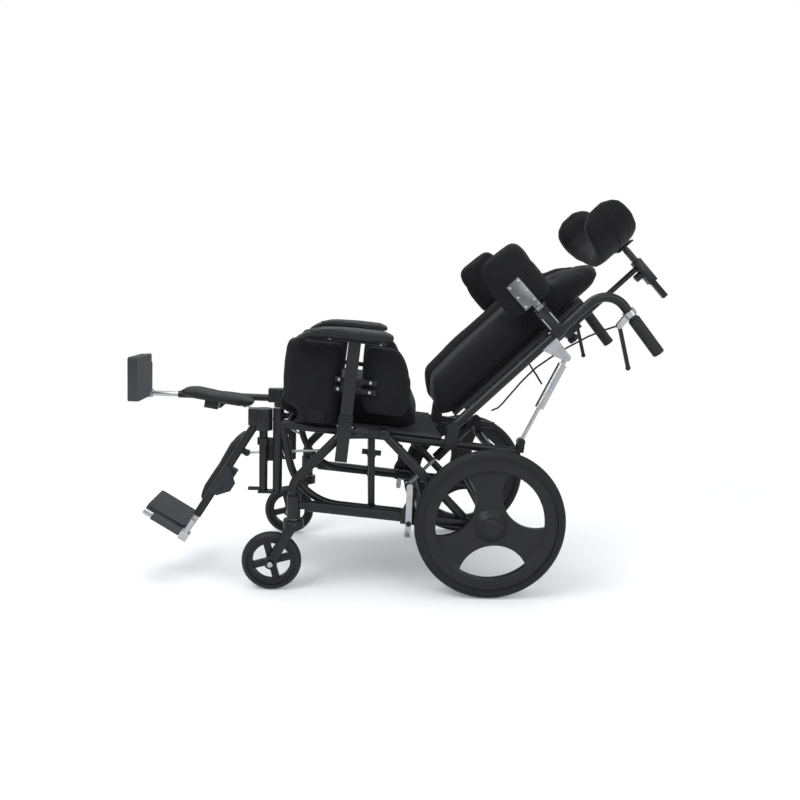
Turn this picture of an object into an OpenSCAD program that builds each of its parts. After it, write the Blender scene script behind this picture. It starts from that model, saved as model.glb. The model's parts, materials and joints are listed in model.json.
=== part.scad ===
// Tilt in space wheelchair with elevating legrests, reclining back,
// headrest, trunk supports and side pads.
// X runs to the occupant's left, Y to the rear and Z up.
// The origin is on the floor, under the middle of the chair.

/* [Overall] */
// Height of the tilt bolts above the floor
pivot_z = 427; // [400:1:450]
// Distance of the tilt bolts in front of the rear axle
pivot_y = 283; // [265:1:300]
// Slope of the seat rails and the base rails in degrees
slope = 5.5; // [3:0.5:8]
// Half of the distance between the seat rails
seat_half = 204; // [198:1:215]
// Distance of the rear axle behind the middle of the chair
axle_y = 246; // [220:1:280]
// Running clearance of pins and tubes in their bores
fit = 0.05; // [0.02:0.01:0.1]
// Gap between a soft or loose piece and its neighbour
seam = 0.3; // [0.2:0.05:1]

/* [Wheels] */
// Radius of the rear wheel over its tyre
wheel_r = 200; // [185:1:210]
// Radius of the rear tyre's round section
tyre_r = 19; // [16:0.5:22]
// Depth of the tyre outside the rim
tyre_depth = 24; // [20:0.5:28]
// Radial depth of the rim ring
rim_depth = 28; // [22:1:36]
// Width of the rim ring
rim_w = 28; // [22:1:32]
// Thickness of the wheel's web beside its windows
web_t = 12; // [8:1:16]
// Radius of the wheel hub
hub_r = 28; // [24:1:34]
// Length of the wheel hub
hub_l = 53; // [46:1:60]
// Outer reach of the wheel's windows from the hub centre
window_reach = 145; // [130:1:146]
// Radius of the arc on a window's inner side
window_arc_r = 94; // [80:1:98]
// Distance of that arc's centre from the hub centre
window_arc_y = 148; // [140:1:155]
// Radius of the castor wheel
castor_r = 79; // [70:1:85]
// Width of the castor wheel
castor_w = 30; // [24:1:34]
// Depth of the castor's tyre
castor_tyre = 15; // [10:1:18]
// Depth of the castor's rim ring
castor_rim = 14; // [10:1:18]
// Radius of the castor hub
castor_hub_r = 17; // [14:1:20]
// Width of a castor spoke
spoke_w = 17; // [12:1:22]
// Distance of the castor's axle from its swivel line
castor_trail = 57; // [45:1:60]
// Distance of the castor's swivel line in front of the rear axle
castor_y = 516; // [500:1:530]

/* [Base frame] */
// Distance from a seat rail to the base frame's side
frame_step = 32; // [31:1:40]
// Depth of the base rail below the tilt bolts
base_drop = 215; // [205:1:225]
// Radius of the base rail
base_r = 15; // [13:0.5:17]
// Radius of the diagonal tubes and cross tubes of the base
brace_r = 12.5; // [10:0.5:13.5]
// Bend radius of the front diagonal
brace_bend = 60; // [50:1:62]
// Radius of the castor housing
housing_r = 18; // [16:0.5:22]
// Length of the castor housing
housing_l = 61; // [55:1:70]
// Radius of the castor stem
stem_r = 6; // [5:0.5:8]
// Radius of the tilt bolt
bolt_r = 5; // [4:0.25:6]
// Radius of the rear axle bolt
axle_r = 6; // [5:0.25:8]

/* [Seat frame] */
// Radius of the seat rail
rail_r = 11; // [10:0.25:12]
// Depth of the seat rail's axis below the tilt bolts
rail_drop = 12; // [12:0.5:14]
// Reach of the seat rail in front of the tilt bolts
rail_front = 287; // [280:1:300]
// Reach of the seat rail behind the tilt bolts
rail_rear = 370; // [360:1:390]
// Radius of the front post
post_r = 12.5; // [11:0.25:12.5]
// Distance of the front post in front of the rear axle
post_y = 563; // [560:1:566]
// Radius of the rocker tube
rocker_r = 10; // [8:0.25:11]
// Depth of the rocker tube below the tilt bolts
rocker_drop = 212; // [200:1:214]
// Radius of the seat's cross tubes
cross_r = 9; // [7:0.25:11]

/* [Backrest] */
// Lean of the canes from the seat rails in degrees
back_angle = 49.7; // [48:0.5:60]
// Distance of the back hinge behind the tilt bolts
hinge_u = 181; // [170:1:190]
// Height of the back hinge above the tilt bolts
hinge_v = 34; // [30:1:40]
// Radius of the cane
cane_r = 12.5; // [10:0.25:12.8]
// Length of the cane from the hinge to its corner
cane_l = 552; // [520:1:580]
// Bend radius of the cane
cane_bend = 64; // [50:1:68]
// Turn of the cane's handle in degrees
handle_turn = 94; // [85:1:100]
// Reach of the handle behind the cane
handle_l = 222; // [210:1:240]
// Length of the hand grip
grip_l = 115; // [95:1:120]
// Radius of the hand grip
grip_r = 16; // [15:0.25:18]
// Height of the back cushion
back_l = 600; // [600:1:650]
// Half of the width of the back cushion
back_half = 182; // [170:1:183]
// Thickness of the back cushion at its bolsters
back_t = 122; // [100:1:124]
// Depth of the back cushion's middle channel below its bolsters
back_dip = 34; // [20:1:50]

/* [Seat and side pads] */
// Length of the seat cushion
seat_l = 387; // [360:1:390]
// Half of the width of the seat cushion
cushion_half = 187; // [175:1:188]
// Thickness of the seat cushion at its rear
seat_t = 130; // [100:1:131]
// Thickness of the side pads
side_t = 40; // [30:1:42]
// Height of the thigh pad
thigh_h = 223; // [190:1:224]
// Length of the thigh pad
thigh_l = 163; // [140:1:164]
// Height of the hip pad
hip_h = 180; // [150:1:184]
// Length of the hip pad
hip_l = 140; // [120:1:144]
// Length of the armrest pad
arm_pad_l = 256; // [230:1:270]
// Width of the armrest pad
arm_pad_w = 58; // [50:1:70]
// Thickness of the armrest pad
arm_pad_t = 32; // [24:1:40]
// Height of the armrest post above the tilt bolts
arm_h = 228; // [228:1:250]
// Length of the armrest post
arm_post_l = 310; // [290:1:320]

/* [Legrests] */
// Drop of the left leg below the horizontal in degrees
left_drop = 58.3; // [50:0.1:60]
// Rise of the right leg above the horizontal in degrees
right_rise = 1; // [0:0.1:3]
// Distance of the swing line in front of the rear axle
swing_y = 600; // [600:1:604]
// Distance of the knee bolt in front of the swing line
knee_step = 14; // [10:1:20]
// Height of the knee bolt above the floor
knee_z = 451; // [445:1:456]
// Radius of the leg tube and the hanger tube
leg_r = 11; // [10:0.25:11.5]
// Length of the leg tube below the knee
leg_l = 306; // [290:1:315]
// Radius of the inner footrest tube
foot_r = 8; // [7:0.25:8.5]
// Reach of the left sole from the knee
left_reach = 358; // [350:1:400]
// Reach of the right sole from the knee
right_reach = 386; // [350:1:400]
// Length of the footplate from heel to toe
foot_l = 130; // [110:1:140]
// Width of the footplate
foot_w = 150; // [130:1:150]
// Depth of the footplate's skirt
foot_t = 28; // [20:1:34]
// Length of the calf pad
calf_l = 222; // [180:1:226]
// Width of the calf pad
calf_w = 92; // [70:1:100]
// Thickness of the calf pad
calf_t = 36; // [24:1:37]
// Pitch of the left calf pad on its bolt in degrees
left_calf_pitch = 0; // [-4:0.5:4]
// Pitch of the right calf pad on its bolt in degrees
right_calf_pitch = -8; // [-10:0.5:4]

/* [Head and trunk supports] */
// Distance of the headrest bar from the back hinge
head_s = 705; // [690:1:720]
// Length of the headrest bar
head_bar_l = 172; // [150:1:180]
// Width of the square headrest bar
head_bar_w = 16; // [12:1:18]
// Height of the headrest pad
head_h = 150; // [120:1:170]
// Thickness of the headrest pad
head_t = 46; // [36:1:50]
// Half of the width of the headrest over the wings' middles
head_half = 122; // [110:1:135]
// Reach of the headrest's wings in front of its middle
head_wing = 130; // [90:1:140]
// Thickness of a trunk support pad
trunk_t = 46; // [36:1:46]
// Height of a trunk support pad along the cane
trunk_h = 142; // [120:1:150]
// Reach of a trunk support pad across the cane
trunk_w = 172; // [150:1:176]

/* [Gas springs] */
// Radius of the tilt spring's cylinder
tilt_gas_r = 14; // [11:0.5:15]
// Radius of the tilt spring's rod
tilt_rod_r = 5.5; // [5:0.25:5.75]
// Radius of the recline spring's cylinder
recline_gas_r = 12; // [9:0.5:13]
// Radius of the recline spring's rod
recline_rod_r = 5; // [4:0.25:6]
// Radius of the pins that hold the gas springs
gas_pin_r = 4; // [3:0.25:5]
// Radial play of the tilt spring's open lower eye
eye_play = 3; // [2.5:0.1:4]
// Radial play of the recline spring's open lower eye
strut_play = 4.8; // [4.7:0.1:5]

/* [Hidden] */
$fn = 48;

// Colours
frame_c = [0.12, 0.12, 0.13];
fabric_c = [0.05, 0.05, 0.055];
vinyl_c = [0.08, 0.08, 0.085];
rubber_c = [0.07, 0.07, 0.07];
slate_c = [0.2, 0.21, 0.23];
zinc_c = [0.72, 0.73, 0.75];

// Planes across the chair
base_half = seat_half + frame_step;
boss_out = 16;
wheel_gap = 1;
wheel_half = base_half + boss_out + wheel_gap + hub_l / 2;

// Over-run of cutting tools
over = 1;

// Turns a floor point, measured from the rear axle, into rail coordinates
function to_rail(p) =
  let (y = p.x + pivot_y, z = p.y - pivot_z)
  [y * cos(slope) - z * sin(slope), y * sin(slope) + z * cos(slope)];
// Turns a backrest point into rail coordinates
function back_to_rail(p) = [
  hinge_u + p.x * cos(back_angle) - p.y * sin(back_angle),
  hinge_v + p.x * sin(back_angle) + p.y * cos(back_angle)
];
function heading(a, b) = (b - a) / norm(b - a);
function turned(d, e) = d.x * e.y - d.y * e.x;
function bend_cut(p, i, r) =
  i == 0 || i == len(p) - 1
    ? 0
    : r * tan(acos(heading(p[i - 1], p[i]) * heading(p[i], p[i + 1])) / 2);

module floor_frame() {
  translate([0, axle_y, 0]) children();
}
module rail_frame() {
  translate([0, axle_y - pivot_y, pivot_z]) rotate([-slope, 0, 0]) children();
}
module back_frame() {
  rail_frame() translate([0, hinge_u, hinge_v]) rotate([back_angle, 0, 0]) children();
}
// Draws the left side's piece, or its mirror image on the right
module on_side(side) {
  if (side < 0) mirror([1, 0, 0]) children();
  else children();
}
// A round bar between two points of a side plane
module rod(x, a, b, r) {
  turn = atan2(a.x - b.x, b.y - a.y);
  translate([x, a.x, a.y]) rotate([turn, 0, 0]) cylinder(h = norm(b - a), r = r);
}
// A disc or pin across the chair
module disc(x0, x1, p, r) {
  translate([x0, p.x, p.y]) rotate([0, 90, 0]) cylinder(h = x1 - x0, r = r);
}
// A flat plate that lies in a side plane
module plate(x0, x1, points) {
  translate([x0, 0, 0]) rotate([90, 0, 90]) linear_extrude(x1 - x0) polygon(points);
}
module strip(x0, x1, a, b, w) {
  d = heading(a, b);
  n = [-d.y, d.x] * w / 2;
  plate(x0, x1, [a + n, a - n, b - n, b + n]);
}
// A flat link with a round end at b
module link(x0, x1, a, b, w) {
  strip(x0, x1, a, b, w);
  disc(x0, x1, b, w / 2);
}
module block(x0, x1, y0, y1, z0, z1) {
  translate([x0, y0, z0]) cube([x1 - x0, y1 - y0, z1 - z0]);
}
module bend(x, c, d, e, bend_r, r) {
  phi = acos(d * e);
  left = turned(d, e) > 0;
  n = left ? [-d.y, d.x] : [d.y, -d.x];
  s = c - bend_r * tan(phi / 2) * d;
  o = s + bend_r * n;
  start = atan2(s.y - o.y, s.x - o.x) - (left ? 0 : phi);
  translate([x, 0, 0]) rotate([90, 0, 90]) translate([o.x, o.y, 0]) rotate([0, 0, start])
    rotate_extrude(angle = phi) translate([bend_r, 0]) circle(r = r);
}
// A tube through points of a side plane, with round bends. The bends are
// drawn a hair thicker and the straights run into them, so all join up.
function straight_cut(p, i, bend_r) =
  i == 0 || i == len(p) - 1 ? 0 : bend_cut(p, i, bend_r) - over;
module tube(x, p, bend_r, r) {
  for (i = [0 : len(p) - 2])
    rod(x, p[i] + straight_cut(p, i, bend_r) * heading(p[i], p[i + 1]),
      p[i + 1] - straight_cut(p, i + 1, bend_r) * heading(p[i], p[i + 1]), r);
  if (len(p) > 2)
    for (i = [1 : len(p) - 2])
      bend(x, p[i], heading(p[i - 1], p[i]), heading(p[i], p[i + 1]), bend_r, r + fit);
}

// Soft forms: a closed loft through rings with the same number of points
module loft(rings) {
  n = len(rings[0]);
  m = len(rings);
  walls = [
    for (j = [0 : m - 2], i = [0 : n - 1])
      let (a = j * n + i, b = j * n + (i + 1) % n)
      each [[a, b, a + n], [b, b + n, a + n]]
  ];
  first = [for (i = [1 : n - 2]) [0, i + 1, i]];
  last = [for (i = [1 : n - 2]) [(m - 1) * n, (m - 1) * n + i, (m - 1) * n + i + 1]];
  polyhedron([for (r = rings) each r], concat(walls, first, last));
}
function power(v, e) = sign(v) * pow(abs(v), e);
// Place of ring j of m along a length, closer together at the ends
function spread(j, m) = (1 - cos(180 * j / m)) / 2;
// How far a round of radius r draws in at distance d from the end
function drawn(d, r) = d < r ? r - sqrt(r * r - (r - d) * (r - d)) : 0;
// One ring of a pad. The tables give shares of the pad's width, height and
// length: sides holds [place, left, right] and heights [place, low, high].
// Cross gives the height share against the place across the width.
function table(key, rows, column) = lookup(key, [for (r = rows) [r[0], r[column]]]);
function pad_ring(size, at, round_r, boxy, n, sides, heights, cross) =
  let (
    d = min(at, 1 - at) * size.y,
    x0 = table(at, sides, 1) * size.x + drawn(d, round_r),
    x1 = table(at, sides, 2) * size.x - drawn(d, round_r),
    z0 = table(at, heights, 1) * size.z + drawn(d, round_r) / 2,
    z1 = table(at, heights, 2) * size.z - drawn(d, round_r) / 2
  )
  [
    for (i = [0 : n - 1])
      let (
        angle = 360 * i / n,
        cx = power(cos(angle), boxy),
        cz = power(sin(angle), boxy),
        full = lookup(abs(cx), cross)
      )
      [
        (x0 + x1) / 2 + cx * (x1 - x0) / 2, at * size.y,
        z0 + (z1 - z0) * (cz + 1) / 2 * (cz > 0 ? full : 1)
      ]
  ];
module pad(size, round_r, n, m, sides, heights, cross, boxy = 0.45) {
  loft([
    for (j = [0 : m])
      pad_ring(size, spread(j, m), round_r, boxy, n, sides, heights, cross)
  ]);
}

// Base frame
crown_gap = 12;
washer_t = 4;
crown_low = 2 * castor_r + crown_gap;
crown_t = 23;
housing_low = crown_low + crown_t + washer_t;
housing_top = housing_low + housing_l;
stem_gap = 5;
axle_uv = to_rail([0, wheel_r]);
stem_uv = to_rail([-castor_y, housing_low + housing_l / 2]);
brace_seat = 15;
brace_foot = to_rail([-castor_y, housing_top - brace_seat]);
base_rail_front = 178;
base_rail_rear = 330;
stub_r = 11;
knee_corner = [-224, -159];
brow_corner = [-110, -14];
rear_foot = [239, -201];
boss_r = 14;
rear_brace_r = 12;
axle_boss_r = 20;
head_recess = 3;
collar_r = 16;
collar_in = 26;
lower_cross = [130, -base_drop];
tilt_low_pin = [100, -190];
bolt_in = 22.5;
lug_in = 9;
lug_t = 6;
boss_in = frame_step - lug_in - lug_t - seam;
boss_end = boss_out - head_recess;

module base_side() {
  color(frame_c) difference() {
    union() {
      rail_frame() {
        rod(base_half, [stem_uv.x, -base_drop], [-base_rail_front, -base_drop], stub_r);
        rod(base_half, [-base_rail_front, -base_drop], [base_rail_rear, -base_drop], base_r);
        tube(base_half, [brace_foot, knee_corner, brow_corner, [0, 0]], brace_bend, brace_r);
        rod(base_half, [0, 0], rear_foot, rear_brace_r);
        disc(base_half - boss_in, base_half + boss_end, [0, 0], boss_r);
        disc(base_half - collar_in, base_half, lower_cross, collar_r);
        disc(base_half - collar_in, base_half + boss_out, axle_uv, axle_boss_r);
        strip(base_half - stub_r, base_half + stub_r, [axle_uv.x, -base_drop], axle_uv, base_r);
      }
      floor_frame()
        translate([base_half, -castor_y, housing_low]) cylinder(h = housing_l, r = housing_r);
    }
    rail_frame() {
      disc(base_half - collar_in - over, base_half + boss_out, [0, 0], bolt_r + fit);
      disc(base_half - bolt_in, base_half + boss_out + over, axle_uv, axle_r + fit);
    }
    floor_frame()
      translate([base_half, -castor_y, housing_low - over])
        cylinder(h = housing_l - stem_gap + over, r = stem_r + fit);
  }
}

// The two tubes between the base sides, with the lug for the tilt spring
gas_eye_w = 12;
gas_ear_gap = 0.5;
gas_ear_t = 4;
gas_ear_r = 10;

module gas_ears(p0, p1, w) {
  for (s = [-1, 1])
    on_side(s)
      link(gas_eye_w / 2 + gas_ear_gap, gas_eye_w / 2 + gas_ear_gap + gas_ear_t, p0, p1, w);
}
module base_cross_tubes() {
  cross_end = base_half - collar_in;
  pin_end = gas_eye_w / 2 + gas_ear_gap + gas_ear_t;
  color(frame_c) rail_frame() {
    disc(-cross_end, cross_end, axle_uv, brace_r);
    disc(-cross_end, cross_end, lower_cross, brace_r);
    gas_ears(lower_cross, tilt_low_pin, 2 * gas_ear_r);
    disc(-pin_end, pin_end, tilt_low_pin, gas_pin_r);
  }
}

// Tilt bolts, axle bolts and castor washers
bolt_head_t = 6;
bolt_head_r = 9;
cap_r = 14;
cap_t = 5;
washer_r = 15;
module base_hardware() {
  color(zinc_c) for (side = [-1, 1])
    on_side(side) {
      rail_frame() {
        disc(base_half - bolt_in, base_half + boss_end, [0, 0], bolt_r);
        disc(base_half + boss_end, base_half + boss_end + bolt_head_t, [0, 0], bolt_head_r);
        disc(base_half - bolt_in + fit, wheel_half + hub_l / 2, axle_uv, axle_r);
        disc(wheel_half + hub_l / 2 + seam, wheel_half + hub_l / 2 + cap_t, axle_uv, cap_r);
        disc(wheel_half + hub_l / 2 - over, wheel_half + hub_l / 2 + cap_t, axle_uv, axle_r);
      }
      floor_frame() translate([base_half, -castor_y, crown_low + crown_t + seam]) difference() {
        cylinder(h = washer_t - seam, r = washer_r);
        translate([0, 0, -over]) cylinder(h = washer_t + 2 * over, r = stem_r + fit);
      }
    }
}

// Wheel locks: plates clamped on the base rails, each with a hinged lever
lock_x = base_half + base_r + seam;
lock_t = 3;
lock_pin = [92, -228];
lock_pin_r = 4;
lock_rivet_r = 7;
lock_grip_w = 14;
lock_shoe = [93, -261];
lock_shoe_r = 7;
lock_shoe_l = 33;
lock_top = [83, -128];
lock_lever_t = 3.8;
lock_lever_w = 16;
lock_grip_l = 44;
lock_band_t = 3;
lock_band_w = 12;
lock_plate_shares = [
  [-1, -0.45], [1, -0.45], [1, 0.4], [0.4, 1.2], [0.4, 2.2], [-0.6, 2.2], [-0.6, 1.2], [-1, 0.6]
];
lock_plate_w = 22;
lock_plate_h = 35;
module wheel_lock_plates() {
  color(zinc_c) for (side = [-1, 1])
    on_side(side) rail_frame() {
      difference() {
        union() {
          plate(lock_x, lock_x + lock_t, [
            for (p = lock_plate_shares)
              [lock_pin.x + p.x * lock_plate_w, -base_drop + p.y * lock_plate_h]
          ]);
          for (end = [-1, 1])
            translate([base_half, lock_pin.x + end * lock_band_w - lock_band_w / 2, -base_drop])
              rotate([-90, 0, 0]) cylinder(h = lock_band_w, r = base_r + seam + lock_band_t);
        }
        rod(base_half, [lock_pin.x - 2 * lock_plate_w, -base_drop],
          [lock_pin.x + 2 * lock_plate_w, -base_drop], base_r + fit);
      }
      disc(lock_x + lock_t - over, lock_x + lock_t + 2 * seam + lock_lever_t, lock_pin, lock_pin_r);
      disc(lock_x + lock_t + 2 * seam + lock_lever_t, lock_x + 2 * lock_t + lock_lever_t,
        lock_pin, lock_rivet_r);
    }
}
module wheel_lock_lever() {
  x0 = lock_x + lock_t + seam;
  color(frame_c) rail_frame() difference() {
    union() {
      link(x0, x0 + lock_lever_t, lock_pin, lock_shoe, lock_lever_w);
      link(x0, x0 + lock_lever_t, lock_pin, lock_top, lock_lever_w);
      disc(x0, x0 + lock_lever_t, lock_pin, lock_lever_w / 2);
      disc(x0, x0 + lock_shoe_l, lock_shoe, lock_shoe_r);
      link(x0, x0 + lock_lever_t + lock_t,
        lock_top - lock_grip_l * heading(lock_pin, lock_top), lock_top, lock_grip_w);
    }
    disc(x0 - over, x0 + lock_lever_t + over, lock_pin, lock_pin_r + fit);
  }
}

// Wheels
rim_r = wheel_r - tyre_depth;
web_out_r = rim_r - rim_depth;
dome_r = 1.6 * hub_r;
window_angles = [-85, 35, 155];
module wheel_frame() {
  floor_frame() translate([wheel_half, 0, wheel_r]) rotate([90, 0, 90]) children();
}
module rear_wheel() {
  color(frame_c) wheel_frame() difference() {
    rotate_extrude($fn = 96) polygon([
      [axle_r + fit, -hub_l / 2], [hub_r, -hub_l / 2], [dome_r, -web_t / 2],
      [web_out_r, -web_t / 2], [web_out_r, -rim_w / 2], [rim_r, -rim_w / 2],
      [rim_r, rim_w / 2], [web_out_r, rim_w / 2], [web_out_r - web_t, web_t / 2],
      [dome_r, web_t], [hub_r, hub_l / 2 - seam], [axle_r + fit, hub_l / 2 - seam]
    ]);
    for (a = window_angles)
      rotate([0, 0, a]) translate([0, 0, -hub_l]) linear_extrude(2 * hub_l) intersection() {
        circle(r = window_reach, $fn = 96);
        translate([window_arc_y, 0]) circle(r = window_arc_r, $fn = 96);
      }
  }
}
module rear_tyre() {
  color(rubber_c) wheel_frame() rotate_extrude($fn = 96) difference() {
    translate([wheel_r - tyre_r, 0]) circle(r = tyre_r);
    translate([0, -2 * tyre_r]) square([rim_r + fit, 4 * tyre_r]);
  }
}
castor_axle_r = 5;
fork_gap = 5;
fork_t = 7;
fork_w = 24;
fork_eye_r = 16;
fork_nut_t = 9;
fork_nut_r = 9;
castor_hub_l = castor_w + 2 * fork_gap - 2 * seam;
castor_axle = [-castor_y - castor_trail, castor_r];
module castor_fork() {
  inner = castor_w / 2 + fork_gap;
  color(frame_c) floor_frame() {
    translate([base_half, -castor_y, crown_low]) cylinder(h = crown_t, r = inner + fork_t);
    translate([base_half, -castor_y, crown_low])
      cylinder(h = housing_top - stem_gap - over - crown_low, r = stem_r);
    for (s = [-1, 1]) {
      x = base_half + s * (inner + fork_t / 2);
      difference() {
        link(x - fork_t / 2, x + fork_t / 2, [-castor_y, crown_low + crown_t / 2],
          castor_axle, fork_w);
        block(x - fork_t, x + fork_t, -castor_y - fork_w, -castor_y + fork_w,
          crown_low + crown_t, crown_low + 2 * crown_t);
      }
      disc(x - fork_t / 2, x + fork_t / 2, castor_axle, fork_eye_r);
    }
    disc(base_half - inner - fork_t - fork_nut_t, base_half + inner + fork_t + fork_nut_t,
      castor_axle, castor_axle_r);
    for (s = [-1, 1]) {
      x = base_half + s * (inner + fork_t + fork_nut_t / 2);
      disc(x - fork_nut_t / 2, x + fork_nut_t / 2, castor_axle, fork_nut_r);
    }
  }
}
castor_spokes = 4;
castor_turn = 15;
module castor_wheel() {
  rim_out = castor_r - castor_tyre;
  rim_in = rim_out - castor_rim;
  floor_frame() translate([base_half, castor_axle.x, castor_axle.y]) rotate([90, 0, 90]) {
    color(frame_c) difference() {
      union() {
        translate([0, 0, -castor_hub_l / 2]) cylinder(h = castor_hub_l, r = castor_hub_r);
        translate([0, 0, -castor_w / 3]) difference() {
          cylinder(h = 2 * castor_w / 3, r = rim_out);
          translate([0, 0, -over]) cylinder(h = castor_w, r = rim_in);
        }
        for (k = [0 : castor_spokes - 1])
          rotate([0, 0, castor_turn + 360 * k / castor_spokes])
            translate([castor_hub_r / 2, -spoke_w / 2, -castor_w / 4])
              cube([rim_in - castor_hub_r / 2 + castor_rim / 2, spoke_w, castor_w / 2]);
      }
      translate([0, 0, -castor_hub_l]) cylinder(h = 2 * castor_hub_l, r = castor_axle_r + fit);
    }
    color(rubber_c) rotate_extrude() difference() {
      translate([castor_r - castor_w / 2, 0]) circle(r = castor_w / 2);
      translate([0, -castor_w]) square([rim_out + fit, 2 * castor_w]);
    }
  }
}

// Seat frame
post_low = 263;
post_high = 484;
rocker_front = [-270, -rail_drop];
rocker_corner = [-205, -rocker_drop];
rocker_end = [75, -rocker_drop];
rocker_bend = 150;
upright_top = [-31, -rail_drop];
upright_low = [-8, -rocker_drop];
front_cross = [-250, -rail_drop];
rear_cross = [290, -rail_drop];
mid_cross = [-25, -65];
seat_collar_r = 12.5;
seat_collar_in = 19;
lug_r = 18;
cheek_gap = 0.7;
cheek_t = 3;
cheek_w = 32;
cheek_low = 25;
hinge_pin_r = 5;
saddle_r = 13;
hinge = [hinge_u, hinge_v];
strut_low_pin = [368, 16];
strut_top = [345, -66];
strut_top_pin = back_to_rail(strut_top);
hang_plate_t = 6;
hang_w = 26;
hang_gap = 5;
hanger_low = 262;
hang_pin_r = 5;
hang_pin_l = 28;
hang_ring_z = 386;
hang_ring_h = 18;
hang_ring_t = 5;

module seat_side(side) {
  lug_x = seat_half + lug_in;
  color(frame_c) difference() {
    union() {
      rail_frame() {
        rod(seat_half, [-rail_front, -rail_drop], [rail_rear, -rail_drop], rail_r);
        rod(seat_half, to_rail([-post_y, post_low]), to_rail([-post_y, post_high]), post_r);
        tube(seat_half, [rocker_front, rocker_corner, rocker_end], rocker_bend, rocker_r);
        rod(seat_half, upright_top, upright_low, cross_r);
        disc(lug_x, lug_x + lug_t, [0, 0], lug_r);
        for (p = [front_cross, rear_cross, mid_cross, upright_low])
          disc(seat_half - seat_collar_in, seat_half, p, seat_collar_r);
        for (s = [-1, 1]) {
          x = seat_half + s * (cane_r + cheek_gap + cheek_t / 2);
          strip(x - cheek_t / 2, x + cheek_t / 2, [hinge_u, -cheek_low], hinge, cheek_w);
          disc(x - cheek_t / 2, x + cheek_t / 2, hinge, cheek_w / 2);
        }
        for (p = [[hinge, hinge_pin_r], [[hinge_u, -rail_drop], saddle_r]])
          disc(seat_half - cane_r - cheek_gap - cheek_t, seat_half + cane_r + cheek_gap + cheek_t,
            p[0], p[1]);
        if (side > 0) {
          translate([seat_half, 0, 0])
            gas_ears([strut_low_pin.x, -rail_drop], strut_low_pin, 2 * gas_ear_r);
          disc(seat_half - gas_eye_w, seat_half + gas_eye_w, strut_low_pin, gas_pin_r);
        }
      }
      floor_frame() {
        block(seat_half - hang_w / 2, seat_half + hang_w / 2, -swing_y - hang_w / 2, -post_y,
          hanger_low - hang_plate_t - seam, hanger_low - seam);
        translate([seat_half, -post_y, hanger_low - hang_plate_t - seam])
          cylinder(h = post_low - hanger_low + hang_plate_t + over, r = post_r);
        translate([seat_half, -swing_y, hanger_low - seam - over])
          cylinder(h = hang_pin_l, r = hang_pin_r);
        translate([seat_half, -swing_y, hang_ring_z])
          cylinder(h = hang_ring_h, r = leg_r + fit + hang_ring_t);
        block(seat_half - hang_gap, seat_half + hang_gap, -swing_y + leg_r, -post_y,
          hang_ring_z, hang_ring_z + hang_ring_h);
      }
    }
    rail_frame() disc(lug_x - over, lug_x + lug_t + over, [0, 0], bolt_r + fit);
    floor_frame()
      translate([seat_half, -swing_y, hang_ring_z - over])
        cylinder(h = hang_ring_h + 2 * over, r = leg_r + fit);
  }
}

// Cross tubes of the seat, side plates of the middle one and the spring's lug
tilt_top_pin = [275, 35];
mid_plate_w = 52;
mid_plate_h = 14;
mid_plate_t = 5;
module seat_cross_frame() {
  cross_end = seat_half - seat_collar_in;
  color(frame_c) rail_frame() {
    for (p = [front_cross, rear_cross])
      disc(-cross_end, cross_end, p, rail_r);
    for (p = [mid_cross, upright_low])
      disc(-cross_end, cross_end, p, cross_r);
    for (s = [-1, 1])
      on_side(s)
        block(cross_end - 2 * mid_plate_t, cross_end - mid_plate_t,
          mid_cross.x - mid_plate_w / 2, mid_cross.x + mid_plate_w / 2,
          mid_cross.y - mid_plate_h / 2, mid_cross.y + mid_plate_h / 2);
    link(-gas_eye_w / 2, gas_eye_w / 2, rear_cross, tilt_top_pin, 2 * gas_ear_r);
    disc(-gas_eye_w, gas_eye_w, tilt_top_pin, gas_pin_r);
  }
}

// Woven deck on the rails, with hems left off where the arm sockets sit
sling_front = 236;
sling_rear = 155;
sling_t = 2.7;
deck_inset = 4;
saddle_front = 118;
saddle_w = 28;
sling_gap = 7;
module seat_sling() {
  low = -rail_drop + rail_r + seam;
  deck = seat_half - rail_r - deck_inset;
  hem = seat_half + lug_in - seam;
  color(fabric_c) rail_frame() {
    block(-deck, deck, -sling_front, sling_rear, low, low + sling_t);
    for (s = [-1, 1])
      on_side(s) {
        block(deck - over, hem, -sling_front, -saddle_front - sling_gap, low, low + sling_t);
        block(deck - over, hem, -saddle_front + saddle_w + sling_gap, sling_rear,
          low, low + sling_t);
      }
  }
}

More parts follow.
